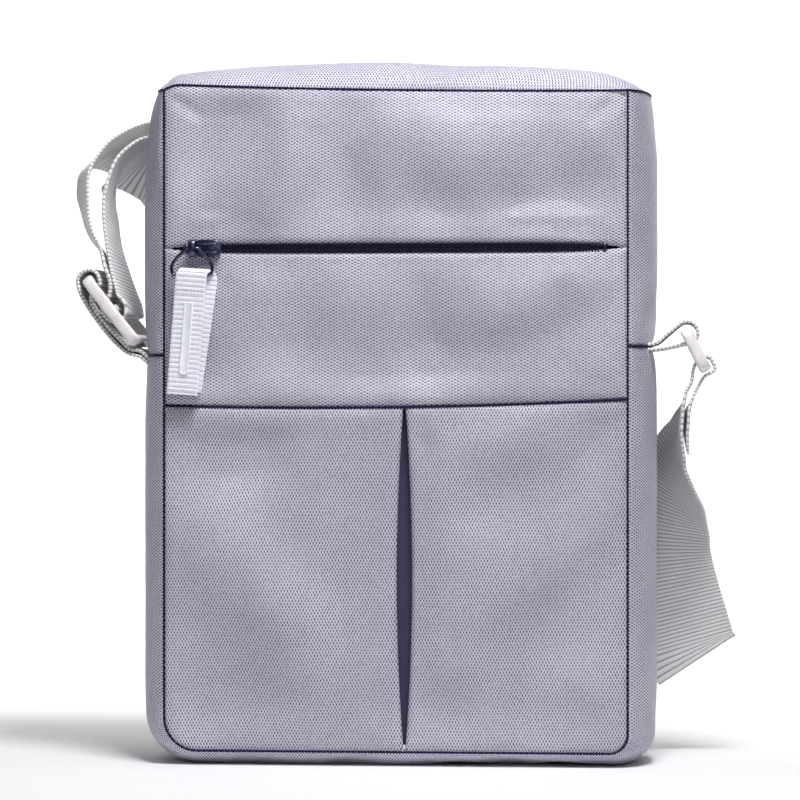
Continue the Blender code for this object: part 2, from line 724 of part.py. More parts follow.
def strap_runs():
    """The free webbing: the hanging end, the run behind the bag, and the tail inside it."""
    hang = webbing_run(
        [
            ((119.3, 0, 150.5), (0, -1, 0)),
            ((118.2, 1.5, 143.0), (0.05, -1, 0)),
            ((117.0, 6.5, 133.0), (0.2, -0.98, 0)),
            ((115.4, 15, 122.0), (0.48, -0.877, 0)),
            ((113.8, 25, 110.0), (0.75, -0.66, 0)),
            ((112.8, 31, 96.0), (0.92, -0.39, 0)),
            ((113.6, 33.0, 79.0), (0.95, -0.22, 0.18)),
            ((122.2, 37.8, 47.3), (0.945, 0, 0.327)),
        ]
    )
    hang.append(fold_edge(38.2))
    add_object("strap_hang_right", band(hang, WEBBING_THICK), STRAP_TAPE, smooth=True)
    across = (-0.676, 0, -0.737)
    run = webbing_run(
        [
            ((-126.2, 1, 213.0), (-0.12, 1, 0)),
            ((-132.8, 2, 224.0), (-0.2, 1, 0)),
            ((-135.4, 4, 235.0), (-0.24, 1, 0)),
            ((-136.0, 8, 246.0), (-0.26, 1, 0)),
            ((-132.5, 15, 256.0), (-0.3, 0.95, -0.1)),
            ((-126.0, 26, 262.0), (-0.4, 0.85, -0.3)),
            ((-119.5, 39.5, 262.0), (-0.58, 0.55, -0.55)),
            ((-107.5, 45.5, 255.0), (-0.66, 0.25, -0.69)),
            ((-92.0, 44.5, 239.5), across),
            ((0, 42.5, 155.0), across),
            ((85.0, 42, 76.8), across),
            ((101.0, 41, 62.1), across),
        ]
    )
    run.append(fold_edge(40.4))
    add_object("strap_run_back", band(run, WEBBING_THICK), STRAP_TAPE, smooth=True)
    tail = webbing_run(
        [
            ((-116.2, 1, 194.5), (0.08, 1, 0)),
            ((-119.6, 2, 204.5), (0.05, 1, 0)),
            ((-123.3, 3, 219.0), (0, 1, 0)),
            ((-124.8, 5, 233.0), (0, 1, 0)),
            ((-123.6, 10, 245.0), (-0.05, 1, 0)),
            ((-120.0, 21, 254.0), (-0.25, 0.95, -0.15)),
            ((-115.0, 37, 256.0), (-0.6, 0.45, -0.6)),
            ((-103.5, 38.5, 251.0), (-0.68, 0.15, -0.7)),
            ((-90.0, 37, 240.0), across),
            ((-58.0, 37, 210.6), across),
        ]
    )
    add_object("strap_tail", band(tail, WEBBING_THICK), STRAP_TAPE, smooth=True)


def main():
    """Builds the bag."""
    clear_scene()
    front_panels()
    inner_and_back_panels()
    side_gusset("side_gusset_left", -1, SIDE_SEAM_LEFT)
    side_gusset("side_gusset_right", 1, SIDE_SEAM_RIGHT)
    lower_gusset()
    top_panel("top_panel_front", -1)
    top_panel("top_panel_back", 1)
    front_zip()
    main_zip()
    left_hardware()
    right_hardware()
    strap_runs()


main()
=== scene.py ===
"""Looks for the woven nylon shoulder bag: cloth, zips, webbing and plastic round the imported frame."""

import math

import bmesh
import bpy
import numpy as np
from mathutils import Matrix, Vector, noise


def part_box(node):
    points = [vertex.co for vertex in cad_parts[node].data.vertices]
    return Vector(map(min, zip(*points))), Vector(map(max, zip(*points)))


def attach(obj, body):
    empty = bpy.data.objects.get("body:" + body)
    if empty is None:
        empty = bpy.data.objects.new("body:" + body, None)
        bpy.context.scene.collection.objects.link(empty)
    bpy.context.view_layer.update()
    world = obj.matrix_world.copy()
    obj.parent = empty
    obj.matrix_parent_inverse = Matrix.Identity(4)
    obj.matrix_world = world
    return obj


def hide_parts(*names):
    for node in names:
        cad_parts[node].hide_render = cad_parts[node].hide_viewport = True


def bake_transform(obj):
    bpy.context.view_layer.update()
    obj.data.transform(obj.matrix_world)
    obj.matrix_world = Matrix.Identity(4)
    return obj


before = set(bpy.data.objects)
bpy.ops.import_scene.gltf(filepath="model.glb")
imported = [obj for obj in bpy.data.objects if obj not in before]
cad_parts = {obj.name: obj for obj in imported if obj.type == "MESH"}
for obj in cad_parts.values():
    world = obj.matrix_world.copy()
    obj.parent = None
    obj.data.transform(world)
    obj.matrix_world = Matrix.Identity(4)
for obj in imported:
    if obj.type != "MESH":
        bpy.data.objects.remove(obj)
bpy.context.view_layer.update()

MM = 0.001
ROOT = "bag"

# The bag's cloth, read from the frame
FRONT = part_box("front_upper_panel")
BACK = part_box("back_panel")
HALF_WIDTH = FRONT[1].x
HALF_DEPTH = BACK[1].y
SEAM_LOW = BACK[0].z
SEAM_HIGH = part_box("top_panel_front")[0].z + 1.5 * MM
TOP_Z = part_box("top_panel_front")[1].z
ZIP_Z = (FRONT[0].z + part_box("front_band_panel")[1].z) / 2
BAND_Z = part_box("front_band_panel")[0].z
SIDE_LEFT_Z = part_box("side_gusset_left")[0].z
SIDE_RIGHT_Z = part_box("side_gusset_right")[0].z
SEAM_X = HALF_WIDTH + 0.15 * MM
SEAM_Y = HALF_DEPTH - 1.1 * MM
CORNER_LEFT = 14 * MM
CORNER_RIGHT = 8 * MM
SIDE_BULGE = 10.5 * MM
TOP_BULGES = {-1: 5 * MM, 1: 9 * MM}
BOTTOM_FLAT = 10 * MM
CREST_Y = 15 * MM
VALLEY_Y = 7 * MM
VALLEY = 3.0 * MM
SLIT_HALF = 1.8 * MM
PLEAT_X = 4 * MM
PLEAT_HALF = 3 * MM
CLOTH = 0.9 * MM
TUCK = 3.2 * MM
EDGE_ROLL = 5 * MM
EDGE_DROP = 1.2 * MM
GRID = 1.3 * MM
WEAVE_ACROSS = 2.51 * MM
WEAVE_ALONG = 1.295 * MM

# Webbing
WEBBING = 38 * MM
WEBBING_THICK = 1.5 * MM
RIB = 1.65 * MM
PULL_RIB = 2.0 * MM


# ---------------------------------------------------------------- materials


class Shader:
    """A Principled material and short ways to add nodes to it."""

    def __init__(self, name, roughness, **fixed):
        self.material = bpy.data.materials.new(name)
        self.material.use_nodes = True
        self.nodes = self.material.node_tree.nodes
        self.links = self.material.node_tree.links
        self.principled = self.nodes["Principled BSDF"]
        self.principled.inputs["Roughness"].default_value = roughness
        for socket, value in fixed.items():
            self.principled.inputs[socket.replace("_", " ")].default_value = value

    def add(self, kind, settings=(), **inputs):
        """A node; its settings are attributes, and its inputs are values or other sockets."""
        node = self.nodes.new(kind)
        for key, value in dict(settings).items():
            setattr(node, key, value)
        for key, value in inputs.items():
            socket = node.inputs[int(key[1:])] if key[1:].isdigit() else node.inputs[key.replace("_", " ")]
            if isinstance(value, bpy.types.NodeSocket):
                self.links.new(value, socket)
            else:
                socket.default_value = value
        return node.outputs[0]

    def math(self, operation, first, second=0.0):
        """A Math node."""
        return self.add("ShaderNodeMath", {"operation": operation}, i0=first, i1=second)

    def place(self):
        """The point on the surface, in the object's own metres."""
        return self.add("ShaderNodeTexCoord").node.outputs["Object"]

    def uv(self):
        """The piece's cloth coordinates in metres, as two values."""
        made = self.add("ShaderNodeUVMap", {"uv_map": "weave"})
        split = self.add("ShaderNodeSeparateXYZ", Vector=made).node
        return split.outputs[0], split.outputs[1]

    def noise(self, scale, detail=3.0, rough=0.55):
        """Grey cloudy noise with features about 1/scale metres wide."""
        made = self.add("ShaderNodeTexNoise", Vector=self.place(), Scale=scale, Detail=detail, Roughness=rough)
        return made.node.outputs[0]

    def wave(self, value, pitch, phase=0.0):
        """The cosine of a length, once round for each pitch."""
        turned = self.math("MULTIPLY_ADD", value, 2 * math.pi / pitch)
        turned.node.inputs[2].default_value = phase
        return self.math("COSINE", turned)

    def span(self, value, low, high, to_low=0.0, to_high=1.0):
        """Maps a value from one range to another, clamped."""
        made = self.add("ShaderNodeMapRange", {}, i0=value, i1=low, i2=high, i3=to_low, i4=to_high)
        return made

    def mix(self, share, first, second, blend="MIX"):
        """A mix of two colours."""
        settings = {"data_type": "RGBA", "blend_type": blend}
        node = self.add("ShaderNodeMix", settings).node
        for socket, value in ((node.inputs[0], share), (node.inputs[6], first), (node.inputs[7], second)):
            if isinstance(value, bpy.types.NodeSocket):
                self.links.new(value, socket)
            else:
                socket.default_value = (*value, 1) if isinstance(value, tuple) else value
        return node.outputs[2]

    def bump(self, height, distance, strength=1.0, under=None):
        """A bump from a height, on top of another bump if there is one."""
        made = self.add("ShaderNodeBump", Height=height, Distance=distance, Strength=strength)
        if under is not None:
            self.links.new(under, made.node.inputs["Normal"])
        return made

    def finish(self, colour=None, roughness=None, normal=None):
        """Joins the results to the shader."""
        for socket, value in (("Base Color", colour), ("Roughness", roughness), ("Normal", normal)):
            if value is not None:
                self.links.new(value, self.principled.inputs[socket])
        return self.material


def nylon():
    """Two-tone nylon: light threads with a staggered grid of darker ones showing between them."""
    s = Shader("nylon_weave", 0.45, Sheen_Weight=0.3, Sheen_Roughness=0.35, Sheen_Tint=(0.84, 0.84, 1, 1))
    across, along = s.uv()
    wobble = s.math("MULTIPLY", s.math("SUBTRACT", s.noise(40, 2), 0.5), 2.2 * MM)
    across = s.math("ADD", across, wobble)
    weave = s.math("MULTIPLY", s.wave(across, WEAVE_ACROSS), s.wave(along, WEAVE_ALONG))
    fine = s.wave(along, WEAVE_ALONG / 3)
    uneven = s.noise(900, 2)
    dots = s.span(s.math("ADD", weave, s.math("MULTIPLY", s.math("SUBTRACT", uneven, 0.5), 0.9)), -0.1, 0.7)
    clouds = s.span(s.noise(22, 4), 0.3, 0.7)
    light = s.mix(clouds, (0.50, 0.485, 0.585), (0.64, 0.625, 0.73))
    light = s.mix(s.span(fine, -1, 1, 0, 0.3), light, (0.80, 0.79, 0.86))
    colour = s.mix(s.math("MULTIPLY", dots, 0.97), light, (0.030, 0.028, 0.100))
    rough = s.span(weave, -1, 1, 0.36, 0.62)
    height = s.math("MULTIPLY_ADD", weave, -0.6)
    s.links.new(s.math("MULTIPLY", fine, 0.22), height.node.inputs[2])
    normal = s.bump(height, 0.16 * MM, 0.8)
    normal = s.bump(s.noise(160, 4), 0.5 * MM, 0.35, normal)
    return s.finish(colour, rough, normal)


def lining():
    """A plain, fine cloth, painted near-black navy as painted shade for the shadow deep inside the pleat's
    slit.
    """
    s = Shader("lining_cloth_painted_shade", 0.7, Sheen_Weight=0.2)
    across, along = s.uv()
    weave = s.math("MULTIPLY", s.wave(across, 0.9 * MM), s.wave(along, 0.9 * MM))
    # Painted shade: both colours are near-black so that the cloth behind the pleat reads as shadow.
    cloth = s.mix(s.span(s.noise(30), 0.3, 0.7), (0.030, 0.028, 0.080), (0.050, 0.046, 0.115))
    colour = s.mix(s.span(weave, 0.2, 0.9, 0, 0.6), cloth, (0.008, 0.007, 0.030))
    return s.finish(colour, s.span(weave, -1, 1, 0.62, 0.8), s.bump(weave, 0.08 * MM, 0.7))


def zip_tape():
    """Navy tape in a fine herringbone."""
    s = Shader("zip_tape_cloth", 0.75, Sheen_Weight=0.25)
    across, along = s.uv()
    flip = s.math("PINGPONG", across, 1.5 * MM)
    twill = s.wave(s.math("ADD", along, flip), 0.7 * MM)
    colour = s.mix(s.span(twill, -1, 1), (0.004, 0.004, 0.020), (0.012, 0.011, 0.045))
    colour = s.mix(s.span(s.noise(120), 0.35, 0.75, 0, 0.5), colour, (0.020, 0.019, 0.06))
    return s.finish(colour, s.span(twill, -1, 1, 0.7, 0.85), s.bump(twill, 0.1 * MM, 0.8))


def zip_teeth():
    """Moulded nylon coil, a little shiny where it is rubbed."""
    s = Shader("coil_nylon", 0.45, Specular_IOR_Level=0.3)
    worn = s.span(s.noise(700, 2), 0.35, 0.7)
    colour = s.mix(worn, (0.004, 0.004, 0.022), (0.012, 0.011, 0.045))
    return s.finish(colour, s.span(worn, 0, 1, 0.48, 0.32), s.bump(s.noise(2500, 2), 0.04 * MM, 0.4))


def dark_metal():
    """Blue-black plated metal, brighter where fingers and edges have rubbed it."""
    s = Shader("blue_black_metal", 0.22, Metallic=1.0, Coat_Weight=1.0, Coat_Roughness=0.1)
    rubbed = s.span(s.noise(420, 5, 0.65), 0.45, 0.70)
    colour = s.mix(rubbed, (0.035, 0.035, 0.10), (0.13, 0.13, 0.24))
    rough = s.span(s.noise(900, 3), 0.3, 0.7, 0.16, 0.34)
    return s.finish(colour, rough, s.bump(s.noise(1800, 2), 0.02 * MM, 0.35))


def webbing_look(name, rib, light, dark, line):
    """Ribbed webbing: light ribs across it, hollows between them painted darker, partly darker yarn and partly
    painted shade, and yarns along it.
    """
    s = Shader(name, 0.7, Sheen_Weight=0.35, Sheen_Roughness=0.5)
    across, along = s.uv()
    ribs = s.wave(along, rib)
    yarn = s.wave(across, 0.62 * MM)
    grain = s.noise(1500, 2)
    tone = s.mix(s.span(s.noise(35, 4), 0.3, 0.7), light, tuple(0.93 * c for c in light))
    # Partly painted shade: the colour darkens towards the hollow of each rib, on top of the real rib relief.
    hollow_shade_and_yarn = s.span(s.math("ADD", ribs, s.math("MULTIPLY", grain, 0.5)), -0.9, -0.9 + line, 1, 0)
    colour = s.mix(s.math("MULTIPLY", hollow_shade_and_yarn, 0.85), tone, dark)
    colour = s.mix(s.span(yarn, 0.55, 1, 0, 0.16), colour, dark)
    height = s.math("ADD", s.math("MULTIPLY", yarn, 0.4), s.math("MULTIPLY", grain, 0.8))
    return s.finish(colour, s.span(ribs, -1, 1, 0.85, 0.62), s.bump(height, 0.1 * MM, 0.7))


def plastic(name, light, dark):
    """Moulded plastic with a faint orange-peel skin and slight scuffs."""
    s = Shader(name, 0.35, Coat_Weight=0.1, Subsurface_Weight=0.12, Subsurface_Scale=2 * MM)
    scuff = s.span(s.noise(260, 5, 0.7), 0.5, 0.72)
    colour = s.mix(scuff, light, dark)
    normal = s.bump(s.noise(1100, 2), 0.05 * MM, 0.35)
    return s.finish(colour, s.span(scuff, 0, 1, 0.3, 0.5), normal)


def thread():
    """Twisted sewing thread in navy."""
    s = Shader("navy_thread", 0.8, Specular_IOR_Level=0.15)
    colour = s.mix(s.span(s.noise(1600, 2), 0.35, 0.65), (0.004, 0.004, 0.030), (0.012, 0.011, 0.065))
    return s.finish(colour, s.span(s.noise(800), 0.3, 0.7, 0.5, 0.7), s.bump(s.noise(3000, 2), 0.05 * MM, 0.6))


LOOKS = {
    "bag_fabric": nylon(),
    "lining": lining(),
    "zip_tape": zip_tape(),
    "zip_teeth": zip_teeth(),
    "dark_metal": dark_metal(),
    # The last colour of each webbing goes into its yarn lines and, partly as painted shade, into its rib
    # hollows.
    "pull_webbing": webbing_look("pull_webbing_ribs", PULL_RIB, (0.93, 0.92, 0.98), (0.30, 0.29, 0.55), 0.55),
    "strap_webbing": webbing_look("strap_webbing_ribs", RIB, (0.93, 0.91, 0.91), (0.17, 0.16, 0.17), 0.95),
    "white_plastic": plastic("off_white_plastic", (0.88, 0.85, 0.845), (0.74, 0.71, 0.71)),
    "pull_bar": plastic("pull_bar_plastic", (0.92, 0.92, 0.97), (0.80, 0.80, 0.87)),
    "thread": thread(),
}


# ---------------------------------------------------------------- mesh helpers


def new_piece(name, verts, faces, look, uvs=None, smooth=True):
    """A mesh object from points and faces, with one cloth coordinate for each point."""
    mesh = bpy.data.meshes.new(name)
    mesh.from_pydata([tuple(v) for v in verts], [], faces)
    if uvs is not None:
        layer = mesh.uv_layers.new(name="weave")
        loop_points = np.zeros(len(mesh.loops), np.int32)
        mesh.loops.foreach_get("vertex_index", loop_points)
        layer.data.foreach_set("uv", np.asarray(uvs, np.float32)[loop_points].ravel())
    if smooth:
        mesh.shade_smooth()
    mesh.materials.append(LOOKS[look])
    obj = bpy.data.objects.new(name, mesh)
    bpy.context.scene.collection.objects.link(obj)
    return obj


def apply_modifiers(obj):
    """Keeps the shape that the modifiers give, and takes them off."""
    bpy.context.view_layer.update()
    graph = bpy.context.evaluated_depsgraph_get()
    shaped = bpy.data.meshes.new_from_object(obj.evaluated_get(graph), depsgraph=graph)
    obj.modifiers.clear()
    obj.data = shaped
    return obj


def outward(obj):
    """Turns the faces out."""
    bm = bmesh.new()
    bm.from_mesh(obj.data)
    bmesh.ops.recalc_face_normals(bm, faces=bm.faces)
    if bm.calc_volume(signed=True) < 0:
        bmesh.ops.reverse_faces(bm, faces=bm.faces)
    bm.to_mesh(obj.data)
    bm.free()
    return obj


def settle(obj, body, slot, *nodes):
    """Says what the piece moves with and which solids it stands for; the slot argument, the finish it takes, is
    not used.
    """
    if body:
        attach(obj, body)
    if nodes:
        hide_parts(*nodes)
    return obj


def grid_faces(rows, cols, start=0, flip=False):
    """Quads over a grid of points."""
    out = []
    for i in range(rows - 1):
        for j in range(cols - 1):
            a = start + i * cols + j
            quad = (a, a + 1, a + cols + 1, a + cols)
            out.append(quad[::-1] if flip else quad)
    return out


def sheet_mesh(name, points, look, thickness=CLOTH, inward=None, uvs=None):
    """A closed sheet: the grid of points is its outer face, and its inner face lies inward of it."""
    rows, cols = points.shape[:2]
    along = np.gradient(points, axis=0)
    across = np.gradient(points, axis=1)
    normal = np.cross(along, across)
    normal /= np.linalg.norm(normal, axis=2, keepdims=True) + 1e-12
    middle = normal[rows // 2, cols // 2]
    if inward is not None and np.dot(middle, inward) < 0:
        normal = -normal
    inner = points + normal * thickness
    if uvs is None:
        uvs = surface_lengths(points)
    count = rows * cols
    verts = np.concatenate((points.reshape(-1, 3), inner.reshape(-1, 3)))
    faces = grid_faces(rows, cols) + grid_faces(rows, cols, count, True)
    edge = [(i, 0) for i in range(rows)] + [(rows - 1, j) for j in range(1, cols)]
    edge += [(i, cols - 1) for i in range(rows - 2, -1, -1)] + [(0, j) for j in range(cols - 2, 0, -1)]
    ring = [i * cols + j for i, j in edge]
    for a, b in zip(ring, ring[1:] + ring[:1]):
        faces.append((a, b, b + count, a + count))
    both = np.concatenate((uvs.reshape(-1, 2), uvs.reshape(-1, 2)))
    return outward(new_piece(name, verts, faces, look, both))


def surface_lengths(points):
    """Cloth coordinates measured along the grid's middle row and column, in metres."""
    rows, cols = points.shape[:2]
    steps = np.linalg.norm(np.diff(points, axis=1), axis=2).mean(0)
    rises = np.linalg.norm(np.diff(points, axis=0), axis=2).mean(1)
    across = np.concatenate(([0], np.cumsum(steps)))
    along = np.concatenate(([0], np.cumsum(rises)))
    out = np.zeros((rows, cols, 2))
    out[..., 0] = across[None, :]
    out[..., 1] = along[:, None]
    return out


def resample(values, count):
    """Catmull-Rom values along the first axis, at count even places."""
    old = len(values)
    at = np.linspace(0, old - 1, count)
    k = np.clip(at.astype(int), 0, old - 2)
    t = (at - k).reshape((-1,) + (1,) * (values.ndim - 1))
    p0, p1 = values[np.clip(k - 1, 0, old - 1)], values[k]
    p2, p3 = values[k + 1], values[np.clip(k + 2, 0, old - 1)]
    return 0.5 * (2 * p1 + (p2 - p0) * t + (2 * p0 - 5 * p1 + 4 * p2 - p3) * t**2
                  + (3 * p1 - p0 - 3 * p2 + p3) * t**3)


def resample_grid(values, rows, cols):
    """Smooth values on a finer grid."""
    return resample(resample(values, rows).swapaxes(0, 1), cols).swapaxes(0, 1)


def cloudy(points, scale, seed):
    """Smooth noise from -1 to 1 at each point of a grid."""
    rows, cols = points.shape[:2]
    shift = Vector((seed * 13.1, seed * 7.7, seed * 3.3))
    out = np.zeros((rows, cols))
    for i in range(rows):
        for j in range(cols):
            out[i, j] = noise.noise(Vector(points[i, j]) * scale + shift)
    return out


def ramp(count, reach):
    """Shares along a row of points: 0 at both ends, 1 from so many points in."""
    t = np.clip(np.minimum(np.arange(count), np.arange(count)[::-1]) / reach, 0, 1)
    return t * t * (3 - 2 * t)


def drape(points, inward, seed, puff, slack, cap):
    """How the cloth moves when it is held at its edges, cut a little large and pushed from inside."""
    rows, cols = points.shape[:2]
    few_rows, few_cols = max(9, rows // 2), max(9, cols // 2)
    start = resample_grid(points, few_rows, few_cols)
    rough = cloudy(start, 26, seed)[..., None] * -np.asarray(inward) * 0.6 * MM
    rough[[0, -1]] = 0
    rough[:, [0, -1]] = 0
    name = f"drape_{seed}"
    obj = new_piece(name, (start + rough).reshape(-1, 3), grid_faces(few_rows, few_cols), "lining")
    if obj.data.polygons[len(obj.data.polygons) // 2].normal.dot(Vector(inward)) > 0:
        obj.data.flip_normals()
    held = obj.vertex_groups.new(name="held")
    edge = [i * few_cols + j for i in range(few_rows) for j in range(few_cols)
            if i in (0, few_rows - 1) or j in (0, few_cols - 1)]
    held.add(edge, 1.0, "REPLACE")
    cloth = obj.modifiers.new("cloth", "CLOTH")
    cloth.settings.quality = 6
    cloth.settings.mass = 0.15
    cloth.settings.tension_stiffness = 25
    cloth.settings.compression_stiffness = 25
    cloth.settings.shear_stiffness = 8
    cloth.settings.bending_stiffness = 0.25
    cloth.settings.vertex_group_mass = "held"
    cloth.settings.shrink_min = -slack
    cloth.settings.use_pressure = True
    cloth.settings.uniform_pressure_force = puff
    cloth.settings.effector_weights.gravity = 0
    cloth.collision_settings.use_collision = False
    for step in range(1, DRAPE_STEPS + 1):
        bpy.context.scene.frame_set(step)
    graph = bpy.context.evaluated_depsgraph_get()
    moved = np.zeros(few_rows * few_cols * 3)
    obj.evaluated_get(graph).data.vertices.foreach_get("co", moved)
    bpy.data.objects.remove(obj)
    bpy.context.scene.frame_set(1)
    offset = moved.reshape(few_rows, few_cols, 3) - start
    length = np.linalg.norm(offset, axis=2, keepdims=True)
    offset *= np.minimum(1, cap / np.maximum(length, 1e-9))
    offset *= (ramp(few_rows, 4)[:, None] * ramp(few_cols, 4)[None, :])[..., None]
    for _ in range(6):
        inside = offset[1:-1, 1:-1] * 0.25
        inside += (offset[:-2, 1:-1] + offset[2:, 1:-1] + offset[1:-1, :-2] + offset[1:-1, 2:]) * 0.1875
        offset[1:-1, 1:-1] = inside
    return resample_grid(offset, rows, cols)


def softened(points, inward, seed, puff=0.5, slack=0.010, cap=3 * MM):
    return points + drape(points, inward, seed, puff, slack, cap)


DRAPE_STEPS = 20


def tube(name, path, radius, look, sides=8, closed=False, twist=None):
    """Round cord along a path; twist is a thread's lay, as (pitch, depth)."""
    path = [Vector(p) for p in path]
    count = len(path)
    verts, uvs, faces = [], [], []
    up, travelled = None, 0.0
    for k, p in enumerate(path):
        ahead = path[(k + 1) % count] if closed else path[min(k + 1, count - 1)]
        behind = path[k - 1] if closed else path[max(k - 1, 0)]
        tangent = (ahead - behind).normalized()
        if up is None:
            up = tangent.orthogonal().normalized()
        up = (up - tangent * up.dot(tangent)).normalized()
        side = tangent.cross(up)
        travelled += (p - path[k - 1]).length if k else 0.0
        for s in range(sides):
            a = 2 * math.pi * s / sides
            swell = 1.0
            if twist:
                swell += twist[1] * math.cos(2 * a - 2 * math.pi * travelled / twist[0])
            verts.append(p + (up * math.cos(a) + side * math.sin(a)) * radius * swell)
            uvs.append((a * radius, travelled))
    for k in range(count if closed else count - 1):
        n = (k + 1) % count
        for s in range(sides):
            t = (s + 1) % sides
            faces.append((k * sides + s, n * sides + s, n * sides + t, k * sides + t))
    if not closed:
        faces.append(tuple(range(sides)))
        faces.append(tuple(range((count - 1) * sides, count * sides))[::-1])
    return outward(new_piece(name, verts, faces, look, uvs))


def even_path(points, step, closed=False):
    """Points at even steps along a smooth curve through the given ones."""
    values = np.array([tuple(p) for p in points], float)
    if closed:
        values = np.concatenate((values, values[:1]))
    fine = resample(values, len(values) * 24)
    lengths = np.concatenate(([0], np.cumsum(np.linalg.norm(np.diff(fine, axis=0), axis=1))))
    count = max(4, int(lengths[-1] / step))
    at = np.linspace(0, lengths[-1], count + 1)
    if closed:
        at = at[:-1]
    return [Vector([np.interp(a, lengths, fine[:, k]) for k in range(3)]) for a in at]


def join(name, objects):
    """Several meshes as one piece."""
    bm = bmesh.new()
    for obj in objects:
        bm.from_mesh(obj.data)
    mesh = bpy.data.meshes.new(name)
    for material in objects[0].data.materials:
        mesh.materials.append(material)
    bm.to_mesh(mesh)
    bm.free()
    for obj in objects:
        bpy.data.objects.remove(obj)
    made = bpy.data.objects.new(name, mesh)
    bpy.context.scene.collection.objects.link(made)
    return made


# ---------------------------------------------------------------- cloth body


def bulge_share(y, flat=0.0):
    """How far the side stands out at depth y, from 0 at the seams to 1 in the middle."""
    t = np.clip((np.abs(y) - flat) / (SEAM_Y - flat), 0, 1)
    return np.sqrt(1 - t * t)


def edge_drop(distance, reach=EDGE_ROLL, depth=EDGE_DROP):
    """How far the cloth turns in at a distance from its seam."""
    return depth * np.clip(1 - distance / reach, 0, 1) ** 2


def tucked(points, inward, depth=TUCK):
    """Adds a border round the grid that turns in and back under the sheet, so that no cut edge shows."""
    grown = np.pad(points, ((1, 1), (1, 1), (0, 0)), mode="edge")
    inward = np.broadcast_to(np.asarray(inward, float), points.shape)

    def under(edge, neighbour, way):
        back = neighbour - edge
        way = way + 0.5 * back / np.linalg.norm(back, axis=1, keepdims=True)
        way = way / np.linalg.norm(way, axis=1, keepdims=True)
        return edge + depth * way * (0.1 + 0.9 * ramp(len(edge), 6)[:, None])

    grown[0, 1:-1] = under(points[0], points[1], inward[0])
    grown[-1, 1:-1] = under(points[-1], points[-2], inward[-1])
    grown[1:-1, 0] = under(points[:, 0], points[:, 1], inward[:, 0])
    grown[1:-1, -1] = under(points[:, -1], points[:, -2], inward[:, -1])
    for i, row in ((0, 1), (-1, -2)):
        for j, col in ((0, 1), (-1, -2)):
            grown[i, j] = (grown[i, col] + grown[row, j]) / 2
    return grown


def slit_half(x, end):
    """Half of the open width over a zip's teeth, closing to a point at its ends."""
    return 0.15 * MM + SLIT_HALF * np.clip(1 - np.abs(x / end) ** 5, 0, 1) ** 0.8


def band_seam(x):
    """Height of the seam under the band: lowest in the middle."""
    share = x / HALF_WIDTH
    return BAND_Z - 1.2 * MM + (1.9 * share**2 + 1.3 * share) * MM


def corner_inset(z, radius):
    """How far the side edge comes in at height z, round the bottom corner."""
    low = SEAM_LOW + 0.1 * MM
    rise = np.clip(radius - (z - low), 0, radius)
    return radius - np.sqrt(radius**2 - rise**2)


def left_edge(z):
    return -SEAM_X + corner_inset(z, CORNER_LEFT)


def right_edge(z):
    return SEAM_X - corner_inset(z, CORNER_RIGHT)


def pleat_edge(side):
    """The slit's edge at each height."""
    def edge(z):
        t = np.clip((BAND_Z - z) / (BAND_Z - SEAM_LOW), 0, 1)
        return PLEAT_X + side * (0.2 * MM + PLEAT_HALF * np.sin(math.pi * t) ** 0.8)
    return edge


def top_seam(x):
    """Height of the seam round the top: a little higher on the left, and pinched down at that corner."""
    share = x / HALF_WIDTH
    pinch = np.clip((-share - 0.93) / 0.07, 0, 1) ** 2
    return SEAM_HIGH + (-0.6 - 1.85 * share + 1.05 * share**2 - 2.2 * pinch) * MM


def wall(name, side, bottom, top, left, right, seed, folds=(), turned=False, **cloth):
    """A front (-1) or back (+1) panel between four edges; folds names the edges that are hems.

    A turned panel has its weave cut the other way.
    """
    low, high = float(bottom(0.0)), float(top(0.0))
    rows, cols = int((high - low) / GRID), int((right(high) - left(high)) / GRID)
    z = (low + (high - low) * np.linspace(0, 1, rows) ** 1.0)[:, None] + np.zeros((1, cols))
    share = np.linspace(0, 1, cols)[None, :]
    x = left(z) + (right(z) - left(z)) * share
    t = (z - low) / (high - low)
    z = bottom(x) + (top(x) - bottom(x)) * t
    gaps = {"left": x - left(z), "right": right(z) - x, "bottom": z - bottom(x), "top": top(x) - z}
    drop = np.zeros_like(x)
    for edge, gap in gaps.items():
        drop += edge_drop(gap, 2.2 * MM, 1.3 * MM) if edge in folds else edge_drop(gap)
    drop = np.minimum(drop, EDGE_DROP)
    inward = (0, -side, 0)
    flat = np.stack((x, side * HALF_DEPTH + 0 * x, z), axis=2)
    shaped = softened(flat, inward, seed, **cloth)
    shaped = shaped + np.asarray(inward) * drop[..., None]
    shaped = shaped + np.asarray(inward) * dents(x, z, side)[..., None]
    near = np.clip(np.minimum.reduce(list(gaps.values())) / SWELL_EDGE, 0, 1)
    shaped = shaped - np.asarray(inward) * (swells(x, z, side) * near * near * (3 - 2 * near))[..., None]
    if side < 0:
        room = TAPE_ROOM + 3 * MM * np.clip((np.abs(z - ZIP_Z) - 13 * MM) / (8 * MM), 0, 1)
        shaped[..., 1] = np.minimum(shaped[..., 1], -HALF_DEPTH + np.maximum(room, drop))
    uvs = np.stack((z, x) if turned else (x, z), axis=2)
    uvs = np.pad(uvs, ((1, 1), (1, 1), (0, 0)), mode="edge")
    return sheet_mesh(name, tucked(shaped, inward), "bag_fabric", CLOTH, inward, uvs)


def dents(x, z, side):
    """Soft hollows pressed into the cloth, as depths: drag lines from the corners and the zip's ends."""
    out = np.zeros_like(x)
    if side > 0:
        lines = BACK_CREASES
    else:
        lines = FRONT_CREASES
    for x0, z0, x1, z1, wide, deep in lines:
        dx, dz = (x1 - x0) * MM, (z1 - z0) * MM
        length = math.hypot(dx, dz)
        u = ((x - x0 * MM) * dx + (z - z0 * MM) * dz) / length
        v = ((x - x0 * MM) * dz - (z - z0 * MM) * dx) / length
        along = np.clip(1 - np.abs(2 * u / length - 1) ** 2.5, 0, 1)
        out += deep * MM * along * np.exp(-((v / (wide * MM)) ** 2))
    return out


